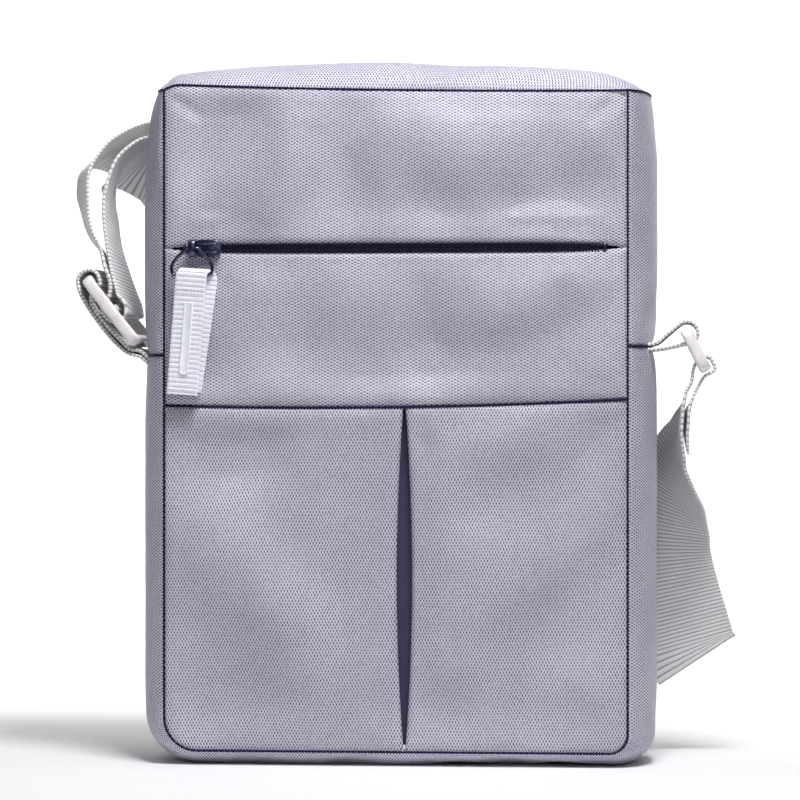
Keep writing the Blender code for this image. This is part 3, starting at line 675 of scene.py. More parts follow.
def swells(x, z, side):
    """Broad rises (and hollows, below 0) where the bag is filled or sags, as heights."""
    out = np.zeros_like(x)
    for x0, z0, turn, long, short, high in BACK_SWELLS if side > 0 else FRONT_SWELLS:
        c, s = math.cos(math.radians(turn)), math.sin(math.radians(turn))
        dx, dz = x - x0 * MM, z - z0 * MM
        u, v = (dx * c + dz * s) / (long * MM), (dz * c - dx * s) / (short * MM)
        out += high * MM * np.exp(-(u * u + v * v))
    return out


FRONT_SWELLS = (
    (34, 262, 0, 64, 17, 2.2),
    (24, 233, 4, 70, 11, -1.6),
    (-74, 250, 62, 30, 14, -2.0),
    (-46, 252, 80, 34, 10, 1.9),
    (-20, 244, 84, 30, 8, -1.0),
    (-44, 203, 8, 40, 11, 1.0),
    (-34, 172, 0, 56, 15, -3.4),
    (60, 196, 40, 32, 14, 2.6),
    (30, 170, 10, 44, 13, -2.8),
    (-60, 122, 0, 46, 20, -3.6),
    (-50, 66, -56, 64, 17, 3.4),
    (-70, 26, 0, 32, 14, -1.6),
    (-14, 104, 82, 40, 10, -1.6),
    (46, 68, 44, 54, 14, 3.4),
    (64, 120, 18, 38, 16, -2.4),
    (20, 112, 86, 34, 9, 2.2),
    (84, 40, 62, 26, 10, 1.8),
    (30, 24, 0, 30, 13, -2.0),
)
BACK_SWELLS = (
    (-30, 230, 10, 70, 24, 1.6),
    (40, 190, -20, 60, 18, -1.8),
    (-40, 120, 30, 66, 22, 1.6),
    (40, 60, -35, 60, 20, 2.0),
    (-60, 40, 40, 36, 16, -1.4),
)
SWELL_EDGE = 14 * MM
TAPE_ROOM = 0.7 * MM
FRONT_CREASES = (
    (-96, 280, -78, 268, 2.6, 1.0),
    (96, 280, 80, 266, 3.0, 1.0),
    (-95, 215, -70, 228, 3.5, 0.5),
    (-95, 213, -62, 196, 4.0, 0.6),
    (95, 214, 66, 229, 4.0, 0.6),
    (95, 212, 60, 192, 5.0, 0.6),
    (-92, 152, -60, 172, 5.0, 0.5),
    (94, 153, 62, 170, 5.0, 0.5),
    (-96, 148, -72, 120, 5.0, 0.6),
    (96, 150, 70, 118, 5.0, 0.6),
    (-88, 8, -62, 40, 5.0, 0.8),
    (92, 8, 68, 36, 5.0, 0.8),
    (2, 148, -14, 118, 4.0, 0.6),
    (6, 148, 22, 116, 4.0, 0.6),
    (2, 8, -10, 34, 4.0, 0.5),
    (7, 8, 20, 36, 4.0, 0.5),
)
BACK_CREASES = (
    (-95, 279, -66, 250, 4.0, 0.8),
    (95, 279, 68, 252, 4.0, 0.8),
    (-88, 10, -58, 44, 5.0, 0.8),
    (90, 10, 62, 44, 5.0, 0.8),
    (-70, 170, 40, 182, 8.0, 0.5),
    (-30, 92, 74, 84, 9.0, 0.5),
)


def front_and_back():
    """The four pieces of the front, the back, and the cloth inside them."""
    def slit_top(x):
        return ZIP_Z + slit_half(x, 94 * MM)

    def slit_low(x):
        return ZIP_Z - slit_half(x, 94 * MM)

    def seam_floor(x):
        return SEAM_LOW + 0.1 * MM + 0 * x

    pieces = (
        ("front_upper_panel", -1, slit_top, top_seam, left_edge, right_edge, ("bottom",)),
        ("front_band_panel", -1, band_seam, slit_low, left_edge, right_edge, ("top",)),
        ("pocket_panel_left", -1, seam_floor, band_seam, left_edge, pleat_edge(-1), ("right",)),
        ("pocket_panel_right", -1, seam_floor, band_seam, pleat_edge(1), right_edge, ("left",)),
        ("back_panel", 1, seam_floor, top_seam, left_edge, right_edge, ()),
    )
    for seed, (node, side, bottom, top, left, right, folds) in enumerate(pieces):
        turned = node.startswith("pocket")
        made = wall(f"cloth_{node}", side, bottom, top, left, right, seed + 1, folds, turned)
        settle(made, ROOT, "bag_fabric", node)
    inner_sheet("pleat_underlay", 11, 2.6 * MM)
    inner_sheet("pocket_divider", 12)


def inner_sheet(node, seed, behind=0.0):
    """Loose lining cloth where the solid says, a little wavy."""
    low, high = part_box(node)
    rows, cols = int((high.z - low.z) / (3 * MM)), int((high.x - low.x) / (3 * MM))
    x, z = np.meshgrid(np.linspace(low.x, high.x, cols), np.linspace(low.z, high.z, rows))
    points = np.stack((x, low.y + 0 * x, z), axis=2)
    points[..., 1] += (0.5 + 0.5 * cloudy(points, 30, seed)) * 0.9 * MM + behind
    made = sheet_mesh(f"lining_{node}", points, "lining", 0.5 * MM, (0, 1, 0))
    settle(made, ROOT, "lining", node)


def side_profile(side, low, high):
    """A side's grid of points between two heights, pulled in at its top."""
    rows, cols = int((high - low) / GRID), int(2 * SEAM_Y / GRID) + 8
    turn = np.linspace(0, math.pi, cols)[None, :]
    y = -SEAM_Y * np.cos(turn) + np.zeros((rows, 1))
    z = np.linspace(low, high, rows)[:, None] + np.zeros((1, cols))
    top = TOP_BULGES[side]
    bulge = SIDE_BULGE + (top - SIDE_BULGE) * np.exp(-(high - z) / (8 * MM))
    return np.stack((side * (SEAM_X + bulge * bulge_share(y)), y, z), axis=2)


def sides():
    """The upper half of each side, then the strip that makes the lower halves and the bottom."""
    tops = (("side_gusset_left", -1, SIDE_LEFT_Z), ("side_gusset_right", 1, SIDE_RIGHT_Z))
    for node, side, low in tops:
        shape = side_profile(side, low, float(top_seam(side * SEAM_X)) - 0.2 * MM)
        inward = (-side, 0, 0)
        shape = softened(shape, inward, 20 + side, puff=0.2, cap=1.4 * MM)
        shape = shape + np.asarray(inward) * side_dents(shape, side)[..., None]
        made = sheet_mesh(f"cloth_{node}", tucked(shape, inward), "bag_fabric", CLOTH, inward)
        settle(made, ROOT, "bag_fabric", node)
    shape, inward = lower_strip()
    shape = softened(shape, (0, 0, 1), 24, puff=0.2, cap=1.2 * MM)
    shape[..., 2] = np.maximum(shape[..., 2], 0)
    shape = shape + inward * side_dents(shape, 0)[..., None]
    shape[..., 2] = np.maximum(shape[..., 2], 0)
    made = sheet_mesh("cloth_lower_gusset", tucked(shape, inward), "bag_fabric", CLOTH, (0, 0, 1))
    settle(made, ROOT, "bag_fabric", "lower_gusset")


def side_dents(points, side):
    """The seam across the side pulls the cloth in, and small folds run from it."""
    x, y, z = points[..., 0], points[..., 1], points[..., 2]
    seam = np.where(x < 0, SIDE_LEFT_Z, SIDE_RIGHT_Z)
    away = np.abs(z - seam)
    out = 0.9 * MM * np.exp(-((away / (3 * MM)) ** 2))
    folds = np.cos(y / (5.2 * MM)) * np.exp(-away / (16 * MM)) * 0.35 * MM
    upright = np.clip(z / (12 * MM), 0, 1)
    return (out + folds) * upright * np.clip(1 - (np.abs(y) / SEAM_Y) ** 6, 0, 1)


def lower_strip():
    """Points down the left side, along the bottom and up the right, and the way in at each row."""
    seam, way, bulges, flats = [], [], [], []

    def station(point, out, bulge, flat):
        seam.append(point)
        way.append(out)
        bulges.append(bulge)
        flats.append(flat)

    low = SEAM_LOW
    for z in np.arange(SIDE_LEFT_Z - 0.3 * MM, low + CORNER_LEFT, -GRID):
        station((-SEAM_X, z), (-1, 0), SIDE_BULGE, 0.0)
    corners = (
        ((-SEAM_X + CORNER_LEFT, low + CORNER_LEFT), CORNER_LEFT, 180, 270),
        ((SEAM_X - CORNER_RIGHT, low + CORNER_RIGHT), CORNER_RIGHT, 270, 360),
    )
    for centre, radius, start, end in corners:
        steps = max(8, int(radius * 1.6 / GRID) + 4)
        for k in range(steps + 1):
            share = k / steps
            angle = math.radians(start + (end - start) * share)
            down = share if start == 180 else 1 - share
            ease = down * down * (3 - 2 * down)
            out = (math.cos(angle), math.sin(angle))
            point = (centre[0] + radius * out[0], centre[1] + radius * out[1])
            bulge = SIDE_BULGE + (low - SIDE_BULGE) * ease
            station(point, out, bulge, BOTTOM_FLAT * ease)
        if start == 180:
            right = corners[1][0][0]
            for x in np.arange(centre[0] + GRID, right - GRID / 2, GRID):
                station((x, low), (0, -1), low, BOTTOM_FLAT)
    for z in np.arange(low + CORNER_RIGHT + GRID, SIDE_RIGHT_Z - 0.3 * MM, GRID):
        station((SEAM_X, z), (1, 0), SIDE_BULGE, 0.0)
    seam, way = np.array(seam), np.array(way, float)
    bulges, flats = np.array(bulges)[:, None], np.array(flats)[:, None]
    cols = int(2 * SEAM_Y / GRID) + 8
    y = -SEAM_Y * np.cos(np.linspace(0, math.pi, cols))[None, :] + np.zeros((len(seam), 1))
    out = bulges * bulge_share(y, flats)
    x = seam[:, :1] + way[:, :1] * out
    z = seam[:, 1:] + way[:, 1:] * out
    inward = np.stack((-way[:, 0], 0 * way[:, 0], -way[:, 1]), axis=1)[:, None, :]
    return np.stack((x, y, z), axis=2), inward


def top_reach(side, y):
    """How far the top runs to the left (-1) or right (+1) at depth y."""
    bulge = np.where(np.asarray(side) < 0, TOP_BULGES[-1], TOP_BULGES[1])
    return SEAM_X + bulge * bulge_share(y)


def top_surface(x, y):
    """Height of the top: two crests that sink towards the left, with the zip's level valley between."""
    share = np.clip(np.abs(x) / top_reach(x, y), 0, 1)
    across = np.abs(x) / HALF_WIDTH
    left, right = 12 - 6.4 * across**1.6, 12 - 2.6 * across**1.3
    crest = np.where(x < 0, left * (1 - share**50), right * (1 - share**10)) * MM
    seam = top_seam(x)
    valley = (SEAM_HIGH + VALLEY - seam) * (1 - share**24)
    far = np.abs(y)
    fall = np.sqrt(np.clip(1 - ((far - CREST_Y) / (SEAM_Y - CREST_Y)) ** 2, 0, 1))
    t = np.clip((far - VALLEY_Y) / (CREST_Y - VALLEY_Y), 0, 1)
    inner = valley + (crest - valley) * t * t * (3 - 2 * t)
    return seam + np.where(far > CREST_Y, crest * fall, inner)


def top_strips():
    """The two crowned strips on either side of the main zip."""
    for side, node in ((-1, "top_panel_front"), (1, "top_panel_back")):
        rows, cols = int(2 * HALF_WIDTH / GRID), 38
        share = -np.cos(np.linspace(0, math.pi, rows))[:, None]
        depth = np.sin(np.linspace(0, math.pi / 2, cols))[None, :]
        nominal = 2 * MM + (SEAM_Y - 2 * MM) * depth + 0 * share
        x = share * top_reach(share, nominal)
        inner = slit_half(x, 93 * MM)
        y = inner + (SEAM_Y - inner) * depth
        z = top_surface(x, nominal)
        z -= edge_drop(y - inner, 2.2 * MM, 1.1 * MM)
        shape = np.stack((x, side * y, z), axis=2)
        shape = softened(shape, (0, 0, -1), 30 + side, puff=0.2, cap=1.2 * MM)
        made = sheet_mesh(f"cloth_{node}", tucked(shape, (0, 0, -1)), "bag_fabric", CLOTH, (0, 0, -1))
        settle(made, ROOT, "bag_fabric", node)


def seam_threads():
    """The dark lines of sewing sunk into each seam."""
    turns = np.radians(np.linspace(180, 270, 9))
    corner = [(-SEAM_X + CORNER_LEFT * (1 + math.cos(a)), SEAM_LOW + CORNER_LEFT * (1 + math.sin(a)))
              for a in turns]
    span = np.linspace(-SEAM_X + CORNER_LEFT, SEAM_X - CORNER_RIGHT, 62)[1:-1]
    corner += [(x, SEAM_LOW) for x in span]
    turns = np.radians(np.linspace(270, 360, 9))
    corner += [(SEAM_X + CORNER_RIGHT * (math.cos(a) - 1), SEAM_LOW + CORNER_RIGHT * (1 + math.sin(a)))
               for a in turns]
    ends = float(top_seam(-SEAM_X)), float(top_seam(SEAM_X))
    outline = [(-SEAM_X, z) for z in np.linspace(ends[0], SEAM_LOW + CORNER_LEFT + 4 * MM, 60)]
    outline += corner
    outline += [(SEAM_X, z) for z in np.linspace(SEAM_LOW + CORNER_RIGHT + 4 * MM, ends[1], 60)]
    outline += [(x, float(top_seam(x))) for x in np.linspace(SEAM_X - 1 * MM, -SEAM_X + 1 * MM, 70)]
    lines = []
    for y in (-SEAM_Y - 0.1 * MM, SEAM_Y + 0.1 * MM):
        lines.append(even_path([(x, y, z) for x, z in outline], 0.5 * MM, closed=True))
    closed = [True, True]
    depths = np.sin(np.linspace(-math.pi / 2, math.pi / 2, 25)) * SEAM_Y
    for side, z, bulge in ((-1, ends[0], TOP_BULGES[-1]), (1, ends[1], TOP_BULGES[1]),
                           (-1, SIDE_LEFT_Z - 0.3 * MM, SIDE_BULGE - 0.9 * MM),
                           (1, SIDE_RIGHT_Z - 0.3 * MM, SIDE_BULGE - 0.9 * MM)):
        points = [(side * (SEAM_X + bulge * float(bulge_share(y))), y, z) for y in depths]
        lines.append(even_path(points, 0.5 * MM))
        closed.append(False)
    across = np.linspace(-SEAM_X + 0.5 * MM, SEAM_X - 0.5 * MM, 30)
    lines.append(even_path([(x, -HALF_DEPTH + 0.9 * MM, float(band_seam(x))) for x in across], 0.5 * MM))
    closed.append(False)
    threads = []
    for path, whole in zip(lines, closed):
        threads.append(tube("thread", path, 0.42 * MM, "thread", 8, whole, (2.4 * MM, 0.16)))
    settle(join("seam_threads", threads), ROOT, "bag_fabric")


# ---------------------------------------------------------------- zips


class ZipFrame:
    """Where a zip lies: a point on its line at the cloth's outer face, and its three directions."""

    def __init__(self, point, along, across, out):
        self.point = Vector(point)
        self.along, self.across, self.out = Vector(along), Vector(across), Vector(out)

    def place(self, u, v, w):
        """World position of a point given along, across and out of the zip."""
        return self.point + self.along * u + self.across * v + self.out * w


FRONT_ZIP = ZipFrame((0, -HALF_DEPTH, ZIP_Z), (1, 0, 0), (0, 0, 1), (0, -1, 0))
MAIN_ZIP = ZipFrame((0, 0, SEAM_HIGH + VALLEY), (1, 0, 0), (0, 1, 0), (0, 0, 1))
ZIP_HALF = 88 * MM
COIL_PITCH = 1.25 * MM
COIL_OUT = 0.55 * MM
COIL_ACROSS = 0.85 * MM
COIL_WIRE = 0.27 * MM
TEETH_OUT = -0.9 * MM
PLATE_CLEAR = 0.4 * MM
PLATE_THICK = 1.7 * MM
PLATE_HALF_WIDTH = 4.0 * MM
PLATE_HALF_LENGTH = 7.0 * MM
BRIDGE_LIFT = 3.2 * MM
BRIDGE_THICK = 1.1 * MM
LINK_WIRE = 0.75 * MM
LINK_DROP = 11.0 * MM
LINK_HALF = 8.3 * MM
LINK_TOP_HALF = 3.4 * MM
PULL_WIDTH = 13 * MM
PULL_LENGTH = 50 * MM
PULL_THICK = 1.2 * MM


def coil(name, zip_frame, side, look="zip_teeth"):
    """One row of a coil zip: a flattened spiral of thick thread along the tape's edge."""
    end = ZIP_HALF - 2.4 * MM
    turns = int(2 * end / COIL_PITCH)
    steps = 12
    middle = side * (0.15 * MM + COIL_ACROSS)
    path = []
    for k in range(turns * steps + 1):
        a = 2 * math.pi * k / steps
        u = -end + 2 * end * k / (turns * steps) + 0.25 * COIL_PITCH * side
        path.append(zip_frame.place(u, middle + COIL_ACROSS * math.cos(a), TEETH_OUT + COIL_OUT * math.sin(a)))
    return tube(name, path, COIL_WIRE, look, 6)


def zip_row(prefix, zip_frame, words):
    """Tapes, coils and the end stops."""
    for side, word in words:
        node = f"{prefix}_zip_teeth_{word}"
        settle(coil(f"coil_{node}", zip_frame, side), ROOT, "zip_teeth", node)
        node = f"{prefix}_zip_tape_{word}"
        low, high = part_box(node)
        reach = max(high.z - low.z, high.y - low.y) if prefix == "front" else high.y - low.y
        u = np.linspace(-ZIP_HALF, ZIP_HALF, 120)
        v = np.linspace(0.4 * MM, reach, 8)
        points = np.zeros((len(u), len(v), 3))
        for i, a in enumerate(u):
            for j, b in enumerate(v):
                lift = -1.95 * MM + 0.12 * MM * math.sin(a / (7 * MM)) * b / reach
                points[i, j] = zip_frame.place(a, side * b, lift)
        made = sheet_mesh(f"tape_{node}", points, "zip_tape", 0.5 * MM, -zip_frame.out)
        settle(made, ROOT, "zip_tape", node)
    for side, word in ((-1, "left"), (1, "right")):
        node = f"{prefix}_zip_stop_{word}"
        settle(end_stop(f"stop_{node}", zip_frame, side), ROOT, "dark_metal", node)


def end_stop(name, zip_frame, side):
    """A small metal staple bent round both rows of teeth."""
    u = side * (ZIP_HALF - 1.0 * MM)
    path = []
    for k in range(24):
        a = 2 * math.pi * k / 24
        v = 1.55 * MM * math.copysign(abs(math.cos(a)) ** 0.5, math.cos(a))
        w = 0.65 * MM * math.copysign(abs(math.sin(a)) ** 0.5, math.sin(a))
        path.append(zip_frame.place(u, v, TEETH_OUT + w))
    obj = tube(name, path, 0.42 * MM, "dark_metal", 8, closed=True)
    stretch = zip_frame.along
    for vertex in obj.data.vertices:
        away = (vertex.co - zip_frame.place(u, 0, 0)).dot(stretch)
        vertex.co += stretch * away * 1.2
    return obj


def plate(zip_frame, outline, low, high, bevel=0.35 * MM):
    """A rounded metal plate with an outline of (along, across) points, between two heights."""
    bm = bmesh.new()
    face = bm.faces.new([bm.verts.new((u, v, low)) for u, v in outline])
    grown = bmesh.ops.extrude_face_region(bm, geom=[face])
    moved = [v for v in grown["geom"] if isinstance(v, bmesh.types.BMVert)]
    bmesh.ops.translate(bm, verts=moved, vec=(0, 0, high - low))
    rims = [e for e in bm.edges if abs(e.verts[0].co.z - e.verts[1].co.z) < 1e-9]
    bmesh.ops.bevel(bm, geom=rims, offset=bevel, segments=3, profile=0.6, affect="EDGES")
    for v in bm.verts:
        v.co = zip_frame.place(*v.co)
    bmesh.ops.recalc_face_normals(bm, faces=bm.faces)
    mesh = bpy.data.meshes.new("plate")
    bm.to_mesh(mesh)
    bm.free()
    mesh.shade_smooth()
    mesh.set_sharp_from_angle(angle=math.radians(50))
    mesh.materials.append(LOOKS["dark_metal"])
    made = bpy.data.objects.new("plate", mesh)
    bpy.context.scene.collection.objects.link(made)
    return made


def slider_outline(middle):
    """A slider seen from above: round shoulders at the wide end and a narrower tail."""
    half, wide = PLATE_HALF_LENGTH, PLATE_HALF_WIDTH
    side = []
    for k in range(13):
        t = k / 12
        u = -half + 2 * half * (0.5 - 0.5 * math.cos(math.pi * t))
        shoulder = math.sqrt(max(0.0, 1 - abs((u / half)) ** 3.2))
        v = wide * (0.25 + 0.75 * shoulder) * (1 - 0.16 * (0.5 - 0.5 * u / half))
        side.append((middle + u, v))
    return side + [(u, -v) for u, v in reversed(side)]


def slider(name, node, body, zip_frame, at, shift, arch_along):
    """Two plates, the web between them, side flanges and an arched bridge."""
    middle = at + shift
    top = PLATE_CLEAR + PLATE_THICK
    back = -3.0 * MM
    parts = [plate(zip_frame, slider_outline(middle), PLATE_CLEAR, top, 0.5 * MM)]
    parts.append(plate(zip_frame, slider_outline(middle), back - 0.9 * MM, back))
    web = [(middle + u, v) for u, v in ((-3.4 * MM, -0.19 * MM), (3.4 * MM, -0.19 * MM),
                                        (3.4 * MM, 0.19 * MM), (-3.4 * MM, 0.19 * MM))]
    parts.append(plate(zip_frame, web, back - 0.3 * MM, PLATE_CLEAR + 0.3 * MM, 0.05 * MM))
    for side in (-1, 1):
        ends = (middle - 3.4 * MM, top - 0.3 * MM), (middle - 2.6 * MM, top + 0.35 * MM)
        ends += (middle + 4.0 * MM, top + 0.35 * MM), (middle + 5.2 * MM, top - 0.3 * MM)
        rail = [zip_frame.place(u, side * 1.75 * MM, w) for u, w in ends]
        parts.append(tube("rail", even_path(rail, 0.4 * MM), 0.5 * MM, "dark_metal", 10))
    parts.append(bridge(zip_frame, at, top, arch_along))
    made = join(name, parts)
    settle(made, body, "dark_metal", node)


def bridge(zip_frame, at, top, arch_along):
    """The arch over the plate that holds the link."""
    half, lift = PLATE_HALF_WIDTH - 0.7 * MM, BRIDGE_LIFT + BRIDGE_THICK / 2
    verts, faces = [], []
    count, ring = 25, 12
    for k in range(count):
        a = math.pi * k / (count - 1)
        run = -half * math.copysign(abs(math.cos(a)) ** 0.62, math.cos(a))
        rise = lift * math.sin(a) ** 0.62 if 0 < k < count - 1 else 0.0
        slope = Vector((math.cos(a) * 0.8, math.sin(a)))
        slope.normalize()
        for s in range(ring):
            b = 2 * math.pi * s / ring
            wide = 1.45 * MM * math.copysign(abs(math.cos(b)) ** 0.6, math.cos(b))
            deep = 0.52 * MM * math.copysign(abs(math.sin(b)) ** 0.6, math.sin(b))
            u, v = run - slope.x * deep, wide
            w = top - 0.3 * MM + rise + slope.y * deep
            verts.append(zip_frame.place(at + (u if arch_along else v), v if arch_along else u, w))
    for k in range(count - 1):
        for s in range(ring):
            t = (s + 1) % ring
            faces.append((k * ring + s, (k + 1) * ring + s, (k + 1) * ring + t, k * ring + t))
    faces.append(tuple(range(ring)))
    faces.append(tuple(range((count - 1) * ring, count * ring))[::-1])
    return outward(new_piece("bridge", verts, faces, "dark_metal"))


def link(name, node, body, pivot, across, down):
    """A bent wire loop: a narrow eye under the bridge, wide where the webbing goes round it."""
    half = [(LINK_TOP_HALF - 1.2 * MM, 0), (LINK_TOP_HALF + 0.2 * MM, 1.4 * MM),
            (LINK_HALF - 1.6 * MM, 4.6 * MM), (LINK_HALF, 7.2 * MM),
            (LINK_HALF, LINK_DROP - 1.3 * MM), (LINK_HALF - 1.2 * MM, LINK_DROP)]
    middle = [(0, LINK_DROP)]
    points = half + middle + [(-u, d) for u, d in reversed(half)] + [(0, 0)]
    path = even_path([pivot + across * u + down * d for u, d in points], 0.5 * MM, closed=True)
    settle(tube(name, path, LINK_WIRE, "dark_metal", 14, closed=True), body, "dark_metal", node)


def pull(prefix, body, foot, across, down, out, lean, fan):
    """Ribbed tape folded double round the link, sewn below it, with a plain bar on its face."""
    c, s = math.cos(lean), math.sin(lean)
    along = across * -s + down * c
    wide = across * c + down * s
    clear = LINK_WIRE + 0.35 * MM + PULL_THICK / 2
    path, shifts = [], []
    for d in np.linspace(PULL_LENGTH, 0, 60):
        close = np.clip((d - 4 * MM) / (10 * MM), 0, 1)
        path.append(along * d + out * (clear - 0.1 * MM * close))
        shifts.append(0)
    for a in np.linspace(0.2, math.pi - 0.2, 9):
        path.append(along * (-(clear + 0.5 * MM) * math.sin(a)) + out * (clear * math.cos(a)))
        shifts.append(fan * 0.9 * a / math.pi)
    for d in np.linspace(0, PULL_LENGTH - 1.4 * MM, 60):
        close = np.clip((d - 4 * MM) / (10 * MM), 0, 1)
        path.append(along * d - out * (clear - 0.45 * MM * close))
        shifts.append(fan * (0.9 + 0.1 * min(1, d / (3 * MM)) - 0.75 * (d / PULL_LENGTH) ** 1.2))
    edges = []
    for p, shift in zip(path, shifts):
        centre = foot + p + wide * shift
        edges.append((centre - wide * PULL_WIDTH / 2, centre + wide * PULL_WIDTH / 2))
    made = webbing(f"tape_{prefix}_pull", edges, PULL_THICK, PULL_RIB, "pull_webbing", 0.13, 1.2 * MM)
    stitches = []
    face = clear + PULL_THICK / 2 - 0.02 * MM
    for d in (6.2 * MM, 7.6 * MM, PULL_LENGTH - 2.2 * MM):
        for k in range(8):
            v = (-5.25 + 1.5 * k) * MM
            a = foot + along * d + wide * (v - 0.5 * MM) + out * (face - 0.14 * MM)
            b = foot + along * d + wide * (v + 0.5 * MM) + out * (face - 0.14 * MM)
            top = (a + b) / 2 + out * 0.24 * MM
            stitches.append(tube("stitch", even_path([a, top, b], 0.15 * MM), 0.16 * MM, "pull_bar", 6))
    settle(join(f"stitches_{prefix}_pull", stitches), body, "pull_webbing")
    settle(made, body, "pull_webbing", f"{prefix}_pull_webbing")
    settle(pull_bar(f"bar_{prefix}_pull", foot, wide, along, out, face), body, "pull_bar", f"{prefix}_pull_bar")


def pull_bar(name, foot, wide, along, out, face):
    """A slim moulded bar with a raised rim, on the face of the tape."""
    half, near, far = 1.85 * MM, 11.5 * MM, 41.5 * MM
    outline = []
    for (u, v), start in (((half, near), -90), ((half, far), 0), ((-half, far), 90), ((-half, near), 180)):
        inset_u = math.copysign(half - 0.9 * MM, u)
        inset_v = v + (0.9 * MM if v == near else -0.9 * MM)
        for k in range(5):
            a = math.radians(start + 90 * k / 4)
            outline.append((inset_u + 0.9 * MM * math.cos(a), inset_v + 0.9 * MM * math.sin(a)))
    rings = ((1.0, -0.15), (1.0, 0.42), (0.93, 0.56), (0.80, 0.56), (0.70, 0.44))
    verts, faces = [], []
    count = len(outline)
    middle = (near + far) / 2
    for share, rise in rings:
        for u, v in outline:
            shrink = v - (v - middle) / abs(v - middle) * half * (1 - share)
            verts.append(foot + wide * u * share + along * shrink + out * (face + rise * MM))
    for k in range(len(rings) - 1):
        for s in range(count):
            t = (s + 1) % count
            faces.append((k * count + s, k * count + t, (k + 1) * count + t, (k + 1) * count + s))
    faces.append(tuple(range(count))[::-1])
    faces.append(tuple(range((len(rings) - 1) * count, len(rings) * count)))
    made = outward(new_piece(name, verts, faces, "pull_bar"))
    made.data.set_sharp_from_angle(angle=math.radians(50))
    return made


def zips():
    """Both zips with their sliders, links and pulls."""
    zip_row("front", FRONT_ZIP, ((1, "upper"), (-1, "lower")))
    zip_row("main", MAIN_ZIP, ((-1, "front"), (1, "back")))
    wire_out = PLATE_CLEAR + PLATE_THICK + BRIDGE_LIFT - LINK_WIRE - 0.1 * MM
    slider("slider_front", "front_zip_slider", "front_slider", FRONT_ZIP, -84 * MM, 5 * MM, False)
    pivot = FRONT_ZIP.place(-84 * MM, 0, wire_out)
    down = Vector((0, 0, -1))
    link("link_front", "front_pull_link", "front_link", pivot, FRONT_ZIP.along, down)
    foot = pivot + down * LINK_DROP
    pull("front", "front_pull", foot, FRONT_ZIP.along, down, FRONT_ZIP.out, math.radians(4.5), 4.2 * MM)
    slider("slider_main", "main_zip_slider", "main_slider", MAIN_ZIP, 76 * MM, 0, True)
    pivot = MAIN_ZIP.place(76 * MM, 0, wire_out)
    down = Vector((-1, 0, 0))
    link("link_main", "main_pull_link", "main_link", pivot, MAIN_ZIP.across, down)
    foot = pivot + down * LINK_DROP
    pull("main", "main_pull", foot, MAIN_ZIP.across, down, MAIN_ZIP.out, 0, 0.8 * MM)


# ---------------------------------------------------------------- webbing and plastic


def webbing(name, edges, thickness, rib, look, relief=0.16, selvedge=1.6 * MM):
    """Flat woven tape between pairs of edge points, with its cross ribs and firm edges as real shape."""
    left = np.array([tuple(a) for a, _ in edges])
    right = np.array([tuple(b) for _, b in edges])
    middle = (left + right) / 2
    travelled = np.concatenate(([0], np.cumsum(np.linalg.norm(np.diff(middle, axis=0), axis=1))))
    count = int(travelled[-1] / rib * (6))
    at = np.linspace(0, travelled[-1], count)
    left = np.stack([np.interp(at, travelled, left[:, k]) for k in range(3)], axis=1)
    right = np.stack([np.interp(at, travelled, right[:, k]) for k in range(3)], axis=1)
    across = right - left
    width = np.linalg.norm(across, axis=1, keepdims=True)
    ahead = np.gradient((left + right) / 2, axis=0)
    normal = np.cross(ahead, across)
    normal /= np.linalg.norm(normal, axis=1, keepdims=True)
    share = np.array([0, 0.012, 0.035, 0.08, 0.16, 0.28, 0.42, 0.58, 0.72, 0.84, 0.92, 0.965, 0.988, 1])
    wave = 0.5 - 0.5 * np.cos(2 * math.pi * at / rib)[:, None]
    verts, uvs = [], []
    for face in (1, -1):
        order = share if face > 0 else share[::-1]
        from_edge = np.minimum(order, 1 - order)[None, :] * width
        inside = np.clip(from_edge / selvedge, 0, 1) ** 2
        round_off = 1 - 0.75 * np.clip(1 - from_edge / (0.6 * MM), 0, 1) ** 2
        half = thickness / 2 * round_off * (1 - relief * 2 * wave * (0.35 + 0.65 * inside))
        scallop = (order - 0.5)[None, :] * (1 - 0.010 * wave) + 0.5
        points = left[:, None] + across[:, None] * scallop[..., None]
        verts.append(points + face * normal[:, None] * half[..., None])
        u = order[None, :] * width
        uvs.append(np.stack((u + 0 * wave, at[:, None] + 0 * u), axis=2))
    points = np.concatenate(verts, axis=1)
    coords = np.concatenate(uvs, axis=1)
    ring = points.shape[1]
    faces = []
    for i in range(count - 1):
        for j in range(ring):
            n = (j + 1) % ring
            faces.append((i * ring + j, i * ring + n, (i + 1) * ring + n, (i + 1) * ring + j))
    faces.append(tuple(range(ring)))
    faces.append(tuple(range((count - 1) * ring, count * ring))[::-1])
    return outward(new_piece(name, points.reshape(-1, 3), faces, look, coords.reshape(-1, 2)))


def sections(stations, per_span=3):
    """Smooth (centre, width direction) pairs through stations of the same."""
    centres = [Vector(c) for c, _ in stations]
    widths = [Vector(w).normalized() for _, w in stations]
    out = []
    last = len(stations) - 1
    for k in range(last):
        p = [centres[max(k - 1, 0)], centres[k], centres[k + 1], centres[min(k + 2, last)]]
        for step in range(per_span):
            t = step / per_span
            smooth = 2 * p[1] + (p[2] - p[0]) * t
            smooth += (2 * p[0] - 5 * p[1] + 4 * p[2] - p[3]) * t * t
            smooth += (3 * p[1] - p[0] - 3 * p[2] + p[3]) * t**3
            out.append((smooth * 0.5, widths[k].lerp(widths[k + 1], t).normalized()))
    out.append((centres[-1], widths[-1]))
    return out


